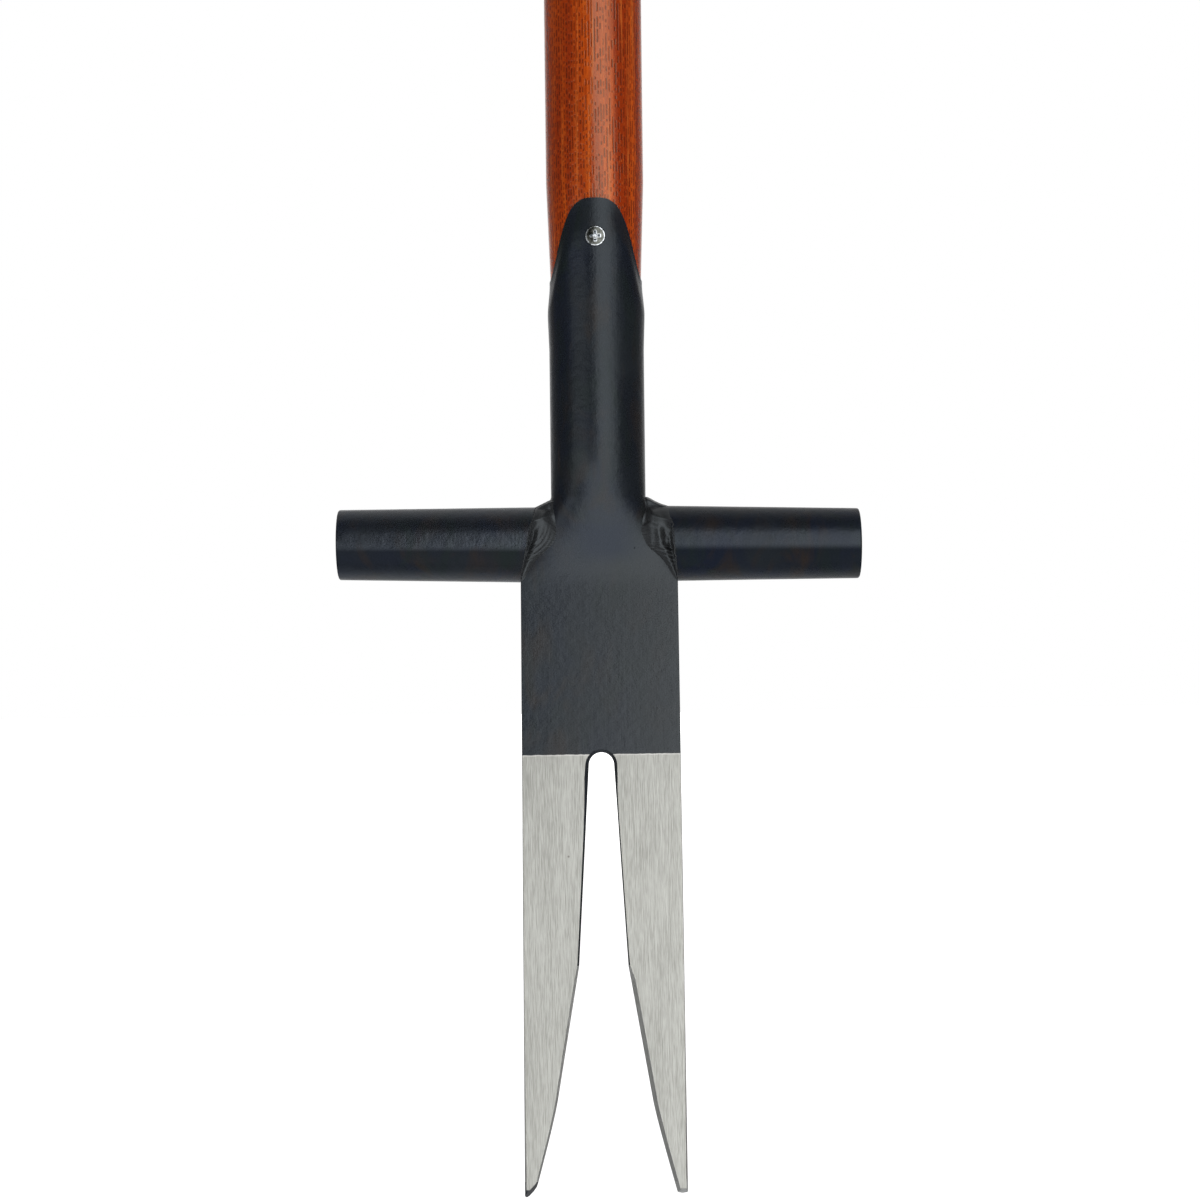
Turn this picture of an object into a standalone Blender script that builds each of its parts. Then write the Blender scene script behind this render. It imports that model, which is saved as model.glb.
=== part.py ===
# Dock weeder: a forked steel head with two welded foot treads, on a wooden shaft with a T grip.
# Metres, +Z up. The tool stands on its two tips at z = 0 and the shaft's axis is x = y = 0.
# The foot treads run along X and the front face looks along -Y.

import math

import bmesh
import bpy
from mathutils import Vector

# Gap between pieces that touch on the real tool
seat_gap = 0.0003

# Forked blade
tine_length = 0.1883
blade_top_width = 0.0662
blade_tip_width = 0.0688
blade_thickness = 0.0070
tip_thickness = 0.0040
blade_edge_round = 0.0004
tip_edge_round = 0.0011
tip_taper_height = 0.0700

# Notch between the tines
throat_radius = 0.0053
kink_height = 0.0980
kink_half_gap = 0.0104
bend_height = 0.0413
bend_half_gap = 0.0201
tip_curve_height = 0.0328
tip_curve_half_gap = 0.0216
tip_radius = 0.0022
tip_corner_angle = math.radians(20)
throat_chamfer = 0.0009
left_cutting_chamfer = 0.0008
right_cutting_chamfer = 0.0014
chamfer_change_length = 0.0060

# Forged neck between the blade and the socket
shoulder_height = 0.2601
shoulder_rise = 0.0359
flatten_start_height = 0.2560
flatten_length = 0.0600

# Socket
socket_diameter = 0.0399
socket_wall = 0.0018
socket_floor_height = 0.3060
rim_height = 0.3865
tongue_height = 0.4192
tongue_half_angle = math.radians(47)
tongue_steepness = 2.85
rim_edge_thickness = 0.0005
rim_feather_length = 0.0150
rim_wave_start_height = 0.3480

# Foot treads
tread_axis_height = 0.2761
tread_span = 0.2194
tread_root_diameter = 0.0317
tread_end_diameter = 0.0296
tread_wall = 0.0028
tread_edge_round = 0.0009
tread_lean = math.radians(0.6)

# Weld beads round the treads' roots
weld_tread_leg = 0.0056
weld_tread_end_leg = 0.0008
weld_neck_leg = 0.0083
weld_top_rise = 0.0052
weld_crown = 0.0007
weld_reach = math.radians(168)

# Shaft
shaft_diameter = 0.0410
shaft_end_diameter = 0.0324
shaft_end_chamfer = 0.0015
shaft_taper_top_height = 0.4280
shaft_slim_start_height = 0.5200
shaft_neck_diameter = 0.0340
tenon_diameter = 0.0240
tool_height = 1.1560

# T grip
grip_length = 0.1400
grip_diameter = 0.0380
grip_end_diameter = 0.0335
grip_end_round = 0.0080

# Wedge and pin that hold the grip on the shaft's tenon
tenon_recess = 0.0005
wedge_width = 0.0215
wedge_depth = 0.0160
wedge_top_thickness = 0.0032
wedge_tip_thickness = 0.0012
kerf_extra_depth = 0.0010
pin_diameter = 0.0040
pin_drop = 0.0030
pin_recess = 0.0003
pin_chamfer = 0.0004

# Socket screws
screw_drop = 0.0160
screw_head_diameter = 0.0080
screw_head_depth = 0.0021
screw_head_dome = 0.0005
screw_rim_height = 0.0003
screw_shank_diameter = 0.0034
screw_plain_length = 0.0025
screw_thread_diameter = 0.0040
screw_core_diameter = 0.0027
screw_pitch = 0.0018
screw_length = 0.0180
screw_point_length = 0.0030
recess_width = 0.0046
recess_slot = 0.0011
recess_depth = 0.0016

# How finely round pieces are faceted
points_per_corner = 11
round_points = 44
screw_points = 20
rings_per_thread_turn = 4

# Places that follow from the sizes above
grip_axis_height = tool_height - grip_diameter / 2
throat_height = tine_length - throat_radius
flatten_end_height = flatten_start_height + flatten_length
shoulder_top_height = shoulder_height + shoulder_rise
pin_height = grip_axis_height - pin_drop
wedge_tip_height = tool_height - wedge_depth
screw_height = tongue_height - screw_drop
cut_margin = 0.010


def clear_scene():
    for old in list(bpy.data.objects):
        bpy.data.objects.remove(old)


def finish(name, colour, roughness, metallic):
    material = bpy.data.materials.new(name)
    material.use_nodes = True
    shader = material.node_tree.nodes["Principled BSDF"]
    shader.inputs["Base Color"].default_value = (*colour, 1)
    shader.inputs["Roughness"].default_value = roughness
    shader.inputs["Metallic"].default_value = metallic
    material.diffuse_color = (*colour, 1)
    return material


def blend(low, high, share):
    share = min(1.0, max(0.0, share))
    return low + (high - low) * share


def eased(share):
    share = min(1.0, max(0.0, share))
    return share * share * (3 - 2 * share)


def skin(name, rings, ring_of_rings=False):
    """A closed mesh over rings of equal count. The ends are capped, or joined where the rings go full circle.
    A ring of one point closes an end as a cone."""
    shape = bmesh.new()
    rows = [[shape.verts.new(point) for point in ring] for ring in rings]
    pairs = list(zip(rows, rows[1:]))
    if ring_of_rings:
        pairs.append((rows[-1], rows[0]))
    for lower, upper in pairs:
        count = max(len(lower), len(upper))
        for i in range(count):
            j = (i + 1) % count
            corners = [lower[i % len(lower)], lower[j % len(lower)], upper[j % len(upper)], upper[i % len(upper)]]
            shape.faces.new(list(dict.fromkeys(corners)))
    if not ring_of_rings:
        for end in (rows[0], rows[-1]):
            if len(end) > 1:
                shape.faces.new(end)
    bmesh.ops.recalc_face_normals(shape, faces=shape.faces)
    mesh = bpy.data.meshes.new(name)
    shape.to_mesh(mesh)
    shape.free()
    mesh.shade_smooth()
    mesh.set_sharp_from_angle(angle=math.radians(35))
    return mesh


def add_object(name, mesh, material=None):
    made = bpy.data.objects.new(name, mesh)
    bpy.context.scene.collection.objects.link(made)
    if material:
        mesh.materials.append(material)
    return made


def combine(target, name, mesh, operation="DIFFERENCE"):
    """Cuts the target with a mesh that stays in the scene as a hidden guide."""
    guide = add_object(name, mesh)
    guide.hide_render = True
    guide.display_type = "WIRE"
    modifier = target.modifiers.new(name, "BOOLEAN")
    modifier.operation = operation
    modifier.object = guide


def turned(profile, along, across, count, origin=(0, 0, 0)):
    """Rings of a turned piece from (distance, radius) pairs; a radius of 0 is the point that closes an end."""
    along, across, origin = Vector(along), Vector(across), Vector(origin)
    third = along.cross(across)
    rings = []
    for distance, radius in profile:
        centre = origin + along * distance
        if radius == 0:
            rings.append([centre])
            continue
        turns = [2 * math.pi * (i + 0.5) / count for i in range(count)]
        rings.append([centre + radius * (across * math.cos(t) + third * math.sin(t)) for t in turns])
    return rings


def corner_angles():
    """Directions round a section of the head, half a step off the axes."""
    step = math.pi / 2 / points_per_corner
    return [(i + 0.5) * step for i in range(4 * points_per_corner)]


# Sizes of the shaft and the socket at a height

def shaft_radius(height):
    """The shaft's tapered foot, then its full diameter, then a slow slimming up to the grip."""
    if height < shaft_taper_top_height:
        share = (height - socket_floor_height) / (shaft_taper_top_height - socket_floor_height)
        return blend(shaft_end_diameter, shaft_diameter, share) / 2
    share = (height - shaft_slim_start_height) / (grip_axis_height - shaft_slim_start_height)
    return blend(shaft_diameter, shaft_neck_diameter, share) / 2


def bore_radius(height):
    return shaft_radius(height) + seat_gap


def socket_radius(height, below_rim=rim_feather_length):
    """Outside of the socket: an even tube that flares with its bore and thins out towards the rim."""
    full = max(socket_diameter / 2, bore_radius(height) + socket_wall)
    edge = bore_radius(height) + rim_edge_thickness
    return blend(edge, full, eased(below_rim / rim_feather_length))


def rim_at(angle):
    """Height of the socket's rim: low at the sides, and raised into a tongue at the front and at the back."""
    from_front = math.acos(min(1.0, abs(math.sin(angle))))
    steep = (math.tan(from_front) / math.tan(tongue_half_angle)) ** tongue_steepness
    return rim_height + (tongue_height - rim_height) / (1 + steep)


# Sizes of the blade and the neck at a height

def head_half_width(height):
    """The blade, then its sloping shoulders, then the socket."""
    if height <= shoulder_height:
        return blend(blade_tip_width, blade_top_width, height / shoulder_height) / 2
    share = (height - shoulder_height) / shoulder_rise
    return blend(blade_top_width, socket_diameter, share) / 2


def head_half_depth(height):
    if height <= flatten_start_height:
        return blend(tip_thickness, blade_thickness, height / tine_length) / 2
    return blend(blade_thickness, socket_diameter, eased((height - flatten_start_height) / flatten_length)) / 2


def head_corner_radius(height):
    """From a small edge break on the blade to the full round of the socket."""
    if height <= flatten_start_height:
        return blend(tip_edge_round, blade_edge_round, height / tip_taper_height)
    round_share = eased(1.4 * (height - flatten_start_height) / flatten_length)
    return blend(blade_edge_round, min(head_half_width(height), head_half_depth(height)), round_share)


def neck_face_depth(x, height):
    """How far the neck's front face lies from the middle plane, at a distance x from the axis."""
    corner = head_corner_radius(height)
    into_corner = max(0.0, x - (head_half_width(height) - corner))
    drop = corner - math.sqrt(max(0.0, corner ** 2 - into_corner ** 2))
    return head_half_depth(height) - drop


def head_section(height, grow=0.0):
    """A level section of the head: a rounded rectangle on the blade, a circle on the socket."""
    corner = head_corner_radius(height)
    flat_x = head_half_width(height) - corner
    flat_y = head_half_depth(height) - corner
    corner += grow
    ring = []
    for angle in corner_angles():
        x = math.copysign(flat_x, math.cos(angle)) + corner * math.cos(angle)
        y = math.copysign(flat_y, math.sin(angle)) + corner * math.sin(angle)
        ring.append(Vector((x, y, height)))
    return ring


def head_sections(grow=0.0):
    """Level sections from the tips up to the part of the socket that is an even tube."""
    steps = 14
    levels = [0.0, tip_taper_height / 2, tip_taper_height, tine_length, shoulder_height, shoulder_top_height]
    levels += [flatten_start_height + flatten_length * i / steps for i in range(steps + 1)]
    return [head_section(level, grow) for level in sorted(levels)]


def socket_ring(share, radius_at):
    """A ring round the socket's upper part: level at share 0 and on the rim's wave at share 1."""
    ring = []
    for angle in corner_angles():
        rim = rim_at(angle)
        height = blend(rim_wave_start_height, rim, share)
        radius = radius_at(height, rim - height)
        ring.append(Vector((radius * math.cos(angle), radius * math.sin(angle), height)))
    return ring


def head_mesh():
    rings = head_sections()
    rings += [socket_ring(share, socket_radius) for share in (0.0, 0.3, 0.55, 0.7, 0.8, 0.9, 1.0)]
    rings += [socket_ring(share, lambda height, below_rim: bore_radius(height)) for share in (1.0, 0.5, 0.0)]
    bore_floor = socket_floor_height - seat_gap
    rings += turned([(bore_floor, bore_radius(bore_floor))], (0, 0, 1), (1, 0, 0), len(rings[0]))
    return skin("forked_head", rings)


# The notch, drawn in the blade's plane as (x, z) points

def touch_bearing(centre, radius, outside):
    """Bearing of the point where a line from an outside point touches a circle, on the circle's left side."""
    away = outside - centre
    return math.atan2(away.y, away.x) + math.acos(min(1.0, radius / away.length))


def arc(centre, radius, start, end, steps=10):
    bearings = [start + (end - start) * i / steps for i in range(steps + 1)]
    return [centre + radius * Vector((math.cos(b), math.sin(b))) for b in bearings]


def notch_half_outline():
    """From the top of the notch down the right tine's inner edge, round its tip to its outer edge."""
    throat = Vector((0, throat_height))
    kink = Vector((kink_half_gap, kink_height))
    bend = Vector((bend_half_gap, bend_height))
    curve = Vector((tip_curve_half_gap, tip_curve_height))
    tip = Vector((blade_tip_width / 2 - tip_radius * math.cos(tip_corner_angle), tip_radius))
    points = arc(throat, throat_radius, math.pi / 2, touch_bearing(throat, throat_radius, kink))
    points += [kink, kink + (bend - kink).normalized() * chamfer_change_length, bend]
    tip_start = touch_bearing(tip, tip_radius, curve)
    tip_side = arc(tip, tip_radius, tip_start, 2 * math.pi - tip_corner_angle)
    for i in range(1, 6):
        t = i / 6
        points.append(bend * (1 - t) ** 2 + curve * 2 * t * (1 - t) + tip_side[0] * t * t)
    return points + tip_side


def notch_chamfer(x, height):
    """The throat's edges are broken evenly; below the kink each tine has its own ground chamfer."""
    cutting = left_cutting_chamfer if x < 0 else right_cutting_chamfer
    return blend(throat_chamfer, cutting, (kink_height - height) / chamfer_change_length)


def notch_mesh():
    right = notch_half_outline()
    beyond = blade_tip_width / 2 + cut_margin
    right += [Vector((beyond, right[-1].y)), Vector((beyond, -cut_margin))]
    outline = right + [Vector((-point.x, point.y)) for point in reversed(right[1:])]
    lead = seat_gap
    rings = [[] for _ in range(6)]
    for i, point in enumerate(outline):
        tangent = (outline[(i + 1) % len(outline)] - point).normalized() + (point - outline[i - 1]).normalized()
        outwards = Vector((-tangent.y, tangent.x)).normalized()
        chamfer = notch_chamfer(point.x, point.y)
        face = head_half_depth(max(0.0, point.y))
        wide = point + outwards * (chamfer + lead)
        stations = [
            (-blade_thickness, wide), (-face - lead, wide), (chamfer - face, point),
            (face - chamfer, point), (face + lead, wide), (blade_thickness, wide),
        ]
        for ring, (y, place) in zip(rings, stations):
            ring.append(Vector((place.x, y, place.y)))
    return skin("notch", rings)


# Screws and their holes

def screw_rings(side):
    """A countersunk wood screw, its axis pointing from the socket's surface towards the shaft's middle."""
    head = screw_head_diameter / 2
    steps = 4
    profile = [(-screw_head_dome, 0)]
    for i in range(1, steps + 1):
        profile.append((-screw_head_dome * (1 - (i / steps) ** 2), head * i / steps))
    shank_end = screw_head_depth + screw_plain_length
    profile += [(screw_rim_height, head), (screw_head_depth, screw_shank_diameter / 2)]
    profile += [(shank_end, screw_shank_diameter / 2)]
    origin = (0, side * socket_radius(screw_height), screw_height)
    along = Vector((0, -side, 0))
    rings = turned(profile, along, (1, 0, 0), screw_points, origin)
    ring_step = screw_pitch / rings_per_thread_turn
    distance = shank_end + ring_step
    while distance < screw_length - ring_step / 2:
        rings.append(thread_ring(distance, along, origin))
        distance += ring_step
    rings.append([Vector(origin) + along * screw_length])
    return rings


def thread_ring(distance, along, origin):
    """One ring of a helical thread that fades in at the shank and out towards the point."""
    across = Vector((1, 0, 0))
    third = along.cross(across)
    to_point = min(1.0, (screw_length - distance) / screw_point_length)
    core = screw_core_diameter / 2 * to_point
    crest = (screw_thread_diameter - screw_core_diameter) / 2 * to_point
    ring = []
    for i in range(screw_points):
        turn = (i + 0.5) / screw_points
        phase = (distance / screw_pitch - turn) % 1.0
        radius = core + crest * (1 - abs(2 * phase - 1)) ** 2
        direction = across * math.cos(2 * math.pi * turn) + third * math.sin(2 * math.pi * turn)
        ring.append(Vector(origin) + along * distance + direction * radius)
    return ring


def screw_hole_mesh(name, side):
    """A countersunk hole with room for the whole screw."""
    head = screw_head_diameter / 2 + seat_gap
    thread = screw_thread_diameter / 2 + seat_gap
    profile = [
        (-cut_margin, head), (screw_rim_height + seat_gap, head), (screw_head_depth + seat_gap, thread),
        (screw_length - screw_point_length, thread), (screw_length + seat_gap, seat_gap),
    ]
    origin = (0, side * socket_radius(screw_height), screw_height)
    return skin(name, turned(profile, (0, -side, 0), (1, 0, 0), screw_points, origin))


def cross_recess_meshes(side):
    """Two tapered bars that cross in the middle of a screw's head."""
    surface = side * socket_radius(screw_height)
    for along_x in (True, False):
        rings = []
        for depth, share in ((-screw_head_dome - seat_gap, 1.0), (recess_depth, 0.45)):
            half_long, half_short = recess_width / 2 * share, recess_slot / 2 * blend(0.6, 1.0, share)
            half_x, half_z = (half_long, half_short) if along_x else (half_short, half_long)
            corners = ((-half_x, -half_z), (half_x, -half_z), (half_x, half_z), (-half_x, half_z))
            y = surface - side * depth
            rings.append([Vector((x, y, screw_height + z)) for x, z in corners])
        yield skin("cross_slot", rings)


def make_screw(name, side, material):
    screw = add_object(name, skin(name, screw_rings(side)), material)
    for i, slot in enumerate(cross_recess_meshes(side)):
        combine(screw, f"{name}_slot_{i + 1}", slot)


# Foot treads and their welds; side is -1 for the left one and 1 for the right one

def tread_point(side, x, distance, angle):
    """A point x from the middle, at a distance from the tread's axis and an angle that is 0 on top."""
    drop = side * (x - head_half_width(tread_axis_height)) * math.tan(tread_lean)
    height = tread_axis_height - drop + distance * math.cos(angle)
    return Vector((side * x, distance * math.sin(angle), height))


def tread_ring(side, inset, from_end=None, grow=0.0):
    """A ring of a tread. Without a distance from its outer end it lies against the neck."""
    ring = []
    root = head_half_width(tread_axis_height)
    for i in range(round_points):
        turn = 2 * math.pi * (i + 0.5) / round_points
        if from_end is None:
            radius = tread_root_diameter / 2 - inset
            x = head_half_width(tread_axis_height + radius * math.cos(turn)) + seat_gap - grow
        else:
            x = tread_span / 2 - from_end
            share = (x - root) / (tread_span / 2 - root)
            radius = blend(tread_root_diameter, tread_end_diameter, share) / 2 - inset
        ring.append(tread_point(side, x, radius, turn))
    return ring


def tread_mesh(name, side):
    """A tapered tube, its inner end cut to the slope of the shoulder and its outer end open."""
    rings = [tread_ring(side, 0.0)]
    for i in range(5):
        turn = math.pi / 2 * i / 4
        inset = tread_edge_round * (1 - math.cos(turn))
        rings.append(tread_ring(side, inset, tread_edge_round * (1 - math.sin(turn))))
    rings.append(tread_ring(side, tread_wall - tread_edge_round / 2, 0.0))
    rings.append(tread_ring(side, tread_wall, tread_edge_round / 2))
    rings.append(tread_ring(side, tread_wall))
    return skin(name, rings, ring_of_rings=True)


def neck_distance(x, angle):
    """How far from the tread's axis the head's surface lies, in the slice at an angle and x from the middle."""
    outside = tread_root_diameter / 2
    steps = 200
    for i in range(steps):
        distance = blend(outside + weld_top_rise, outside / 4, i / steps)
        height = tread_axis_height + distance * math.cos(angle)
        if x < head_half_width(height) and distance * abs(math.sin(angle)) < neck_face_depth(x, height):
            return distance
    return outside / 4


def weld_section(side, angle):
    """A flat slice of the weld bead, at an angle round the tread's axis that is 0 on top. Its feet reach
    below the surfaces of the tread and the neck, which are then cut away with their gap."""
    sink = 2 * seat_gap
    upright = math.cos(angle)
    outside = tread_root_diameter / 2
    inside = outside - tread_wall
    joint = head_half_width(tread_axis_height + outside * upright)
    share = abs(angle) / weld_reach
    crown = seat_gap + weld_crown * (1 - share ** 4)
    leg = blend(weld_tread_end_leg, weld_tread_leg, ((1 + upright) / 2) ** 0.7)
    rise = weld_top_rise * max(0.0, upright) ** 2
    reach_in = weld_neck_leg * math.sin(math.pi * share ** 1.5) ** 0.6
    top_x = head_half_width(tread_axis_height + (outside + rise) * upright)
    toe_x = min(joint - reach_in, top_x) - 2 * sink
    toe = min(outside + rise, neck_distance(toe_x, angle)) - sink
    tread_toe = outside - sink
    bead = []
    for x in (joint + leg / 2, joint - sink):
        straight = blend(tread_toe, toe, (joint + leg - x) / (joint + leg - toe_x))
        bead.append((x, max(straight, outside + crown)))
    bead.append(((bead[-1][0] + toe_x) / 2, (bead[-1][1] + toe) / 2 + crown))
    root_foot = min(inside, neck_distance(joint - sink, angle) - sink)
    outline = [(joint + leg, tread_toe), *bead, (toe_x, toe), (toe_x - sink, toe - sink)]
    outline += [(joint - sink, root_foot), (joint + sink, inside)]
    return [tread_point(side, x, distance, angle) for x, distance in outline]


def make_weld(name, side, material):
    """A bead from under the tread's front, over its top, to under its back. It runs out to a point inside
    the tread's wall at both ends."""
    steps = 30
    angles = [weld_reach * (2 * i / steps - 1) for i in range(steps + 1)]
    wall_middle = (tread_root_diameter - tread_wall) / 2
    end_x = head_half_width(tread_axis_height + wall_middle * math.cos(weld_reach)) + 2 * seat_gap
    rings = [weld_section(side, angle) for angle in angles[1:-1]]
    rings.insert(0, [tread_point(side, end_x, wall_middle, angles[0])])
    rings.append([tread_point(side, end_x, wall_middle, angles[-1])])
    weld = add_object(name, skin(name, rings), material)
    inner, outer = tread_ring(side, -seat_gap, grow=seat_gap), tread_ring(side, -seat_gap, -cut_margin)
    centre = tread_point(side, head_half_width(tread_axis_height) + seat_gap, 0, 0)
    combine(weld, f"{name}_tread_cut", skin("tread_cut", [[centre], inner, outer]))
    head_cut = head_sections(grow=seat_gap) + [head_section(rim_height, grow=seat_gap)]
    combine(weld, f"{name}_neck_cut", skin("neck_cut", head_cut))


def make_tread(name, side, material):
    add_object(name, tread_mesh(name, side), material)


# T grip, tenon, wedge and pin

def grip_radius(x):
    """A slim barrel with rounded ends."""
    barrel = blend(grip_diameter, grip_end_diameter, (2 * x / grip_length) ** 2) / 2
    into_round = max(0.0, abs(x) - (grip_length / 2 - grip_end_round))
    return barrel - grip_end_round * (1 - math.sqrt(max(0.0, 1 - (into_round / grip_end_round) ** 2)))


def grip_crest(x, y, offset):
    """Half the grip's height at a place, on its surface moved out by an offset."""
    return math.sqrt(max(0.0, (grip_radius(x) + offset) ** 2 - y ** 2))


def grip_mesh():
    body = grip_length / 2 - grip_end_round
    steps = 6
    stations = [body * i / steps for i in range(steps)]
    stations += [body + grip_end_round * math.sin(math.pi / 2 * i / steps) for i in range(steps + 1)]
    stations = [-x for x in reversed(stations[1:])] + stations
    return skin("t_grip", turned([(x, grip_radius(x)) for x in stations], (1, 0, 0), (0, 0, 1), round_points,
                                 (0, 0, grip_axis_height)))


def saddle_ring(radius, height_at):
    """A ring round the shaft's axis whose height follows the grip."""
    ring = []
    for i in range(round_points):
        turn = 2 * math.pi * (i + 0.5) / round_points
        x, y = radius * math.cos(turn), radius * math.sin(turn)
        ring.append(Vector((x, y, grip_axis_height + height_at(x, y))))
    return ring


def shaft_mesh():
    """The shaft, with a shoulder that fits round the grip and a tenon that follows the grip's top."""
    foot = socket_floor_height
    profile = [
        (foot, shaft_radius(foot) - shaft_end_chamfer),
        (foot + shaft_end_chamfer, shaft_radius(foot + shaft_end_chamfer)),
        (shaft_taper_top_height, shaft_diameter / 2),
        (shaft_slim_start_height, shaft_diameter / 2),
    ]
    rings = turned(profile, (0, 0, 1), (1, 0, 0), round_points)
    neck = shaft_radius(grip_axis_height - grip_diameter / 2)
    for share in (0.0, 0.25, 0.5, 0.75, 1.0):
        radius = blend(neck, tenon_diameter / 2, share)
        rings.append(saddle_ring(radius, lambda x, y: -grip_crest(x, y, seat_gap)))
    for share in (1.0, 0.7, 0.4):
        rings.append(saddle_ring(tenon_diameter / 2 * share, lambda x, y: grip_crest(x, y, -tenon_recess)))
    rings.append([Vector((0, 0, tool_height - tenon_recess))])
    return skin("ash_shaft", rings)


def wedge_half_thickness(height):
    share = (height - wedge_tip_height) / wedge_depth
    return (wedge_tip_thickness + (wedge_top_thickness - wedge_tip_thickness) * share) / 2


def wedge_rings(half_width, bottom, grow, top_at):
    """Upright slices of the wedge along Y."""
    steps = 10
    rings = []
    for i in range(steps + 1):
        y = half_width * (2 * i / steps - 1)
        top = top_at(y)
        low, high = wedge_half_thickness(bottom) + grow, wedge_half_thickness(top) + grow
        rings.append([Vector((x, y, z)) for x, z in ((-low, bottom), (low, bottom), (high, top), (-high, top))])
    return rings


def wedge_mesh():
    return skin("grip_wedge", wedge_rings(wedge_width / 2, wedge_tip_height, 0.0,
                                          lambda y: grip_axis_height + grip_crest(0, y, -tenon_recess)))


def kerf_mesh():
    """The saw cut across the tenon that the wedge spreads."""
    return skin("wedge_kerf", wedge_rings(tenon_diameter, wedge_tip_height - kerf_extra_depth, seat_gap,
                                          lambda y: tool_height + cut_margin))


def pin_mesh():
    half_length = math.sqrt(grip_radius(0) ** 2 - pin_drop ** 2) - pin_recess
    radius = pin_diameter / 2
    profile = [(-half_length, radius - pin_chamfer), (-half_length + pin_chamfer, radius)]
    profile += [(-distance, size) for distance, size in reversed(profile)]
    return skin("grip_pin", turned(profile, (0, 1, 0), (1, 0, 0), screw_points, (0, 0, pin_height)))


def pin_hole_mesh():
    reach = grip_diameter / 2 + cut_margin
    profile = [(-reach, pin_diameter / 2 + seat_gap), (reach, pin_diameter / 2 + seat_gap)]
    return skin("pin_hole", turned(profile, (0, 1, 0), (1, 0, 0), screw_points, (0, 0, pin_height)))


def mortise_mesh():
    """The grip's through hole, a little wider than the tenon."""
    reach = grip_diameter / 2 + cut_margin
    profile = [(-reach, tenon_diameter / 2 + seat_gap), (reach, tenon_diameter / 2 + seat_gap)]
    return skin("mortise", turned(profile, (0, 0, 1), (1, 0, 0), round_points, (0, 0, grip_axis_height)))


def make_head(material):
    head = add_object("forked_head", head_mesh(), material)
    combine(head, "notch_between_tines", notch_mesh())
    combine(head, "front_screw_hole", screw_hole_mesh("front_screw_hole", -1))
    combine(head, "back_screw_hole", screw_hole_mesh("back_screw_hole", 1))


def make_shaft(material):
    shaft = add_object("ash_shaft", shaft_mesh(), material)
    combine(shaft, "front_pilot_hole", screw_hole_mesh("front_pilot_hole", -1))
    combine(shaft, "back_pilot_hole", screw_hole_mesh("back_pilot_hole", 1))
    combine(shaft, "wedge_kerf", kerf_mesh())
    combine(shaft, "tenon_pin_hole", pin_hole_mesh())


def make_grip(material):
    grip = add_object("t_grip", grip_mesh(), material)
    combine(grip, "tenon_mortise", mortise_mesh())
    combine(grip, "grip_pin_hole", pin_hole_mesh())


def main():
    clear_scene()
    coated = (0.030, 0.033, 0.038)
    weld_coated = (0.026, 0.028, 0.032)
    stained = (0.330, 0.080, 0.018)
    bright = (0.720, 0.720, 0.700)
    make_head(finish("coated forged steel", coated, 0.45, 0.0))
    for name, side in (("left", -1), ("right", 1)):
        make_tread(f"{name}_foot_tread", side, finish(f"{name} tread coating", coated, 0.45, 0.0))
        make_weld(f"{name}_tread_weld", side, finish(f"{name} weld coating", weld_coated, 0.50, 0.0))
    make_shaft(finish("varnished stained ash", stained, 0.30, 0.0))
    make_screw("front_socket_screw", -1, finish("front screw zinc", bright, 0.25, 1.0))
    make_screw("back_socket_screw", 1, finish("back screw zinc", bright, 0.25, 1.0))
    make_grip(finish("varnished grip ash", stained, 0.30, 0.0))
    add_object("grip_wedge", wedge_mesh(), finish("pale wedge wood", (0.420, 0.220, 0.090), 0.45, 0.0))
    add_object("grip_pin", pin_mesh(), finish("steel pin", bright, 0.35, 1.0))


main()
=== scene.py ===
import math

import bmesh
import bpy
from mathutils import Matrix, Vector, noise


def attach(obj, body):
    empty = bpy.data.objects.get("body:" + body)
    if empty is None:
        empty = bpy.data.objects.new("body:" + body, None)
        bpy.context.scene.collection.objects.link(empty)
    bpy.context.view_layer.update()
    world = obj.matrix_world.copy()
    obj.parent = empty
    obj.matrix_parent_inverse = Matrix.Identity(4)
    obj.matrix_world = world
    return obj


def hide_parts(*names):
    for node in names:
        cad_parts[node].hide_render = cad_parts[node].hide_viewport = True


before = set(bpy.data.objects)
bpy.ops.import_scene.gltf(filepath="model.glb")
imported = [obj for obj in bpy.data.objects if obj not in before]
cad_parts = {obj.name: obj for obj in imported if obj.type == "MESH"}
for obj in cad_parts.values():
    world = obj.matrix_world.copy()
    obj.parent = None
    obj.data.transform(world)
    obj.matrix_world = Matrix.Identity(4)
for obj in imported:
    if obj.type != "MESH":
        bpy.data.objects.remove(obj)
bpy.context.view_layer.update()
print("frame loaded")

seatGap = 0.0003          # air between pieces that touch on the real tool
mergeDistance = 2e-7      # points nearer to each other than this are one

# Square on to the blade, level with the middle of the picture; the tool leans a little to the left
cameraSetup = {
    "distance": 1.05,
    "height": 0.2525,
    "sideways": 0.0002,
    "focal": 74.6,
    "sensor": 36.0,
    "farthest": 30,
    "roll": math.radians(-0.68),
}

camera = bpy.data.objects.new("camera", bpy.data.cameras.new("camera"))
bpy.context.scene.collection.objects.link(camera)
camera.data.lens = cameraSetup["focal"]
camera.data.sensor_width = cameraSetup["sensor"]
camera.data.clip_end = cameraSetup["farthest"]
camera.matrix_world = (
    Matrix.Translation((cameraSetup["sideways"], -cameraSetup["distance"], cameraSetup["height"]))
    @ Matrix.Rotation(math.pi / 2, 4, "X")
    @ Matrix.Rotation(cameraSetup["roll"], 4, "Z")
)
bpy.context.scene.camera = camera
bpy.context.scene.view_settings.view_transform = "Standard"
print("camera set")


def mix(low, high, share):
    share = min(1.0, max(0.0, share))
    return low + (high - low) * share


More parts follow.
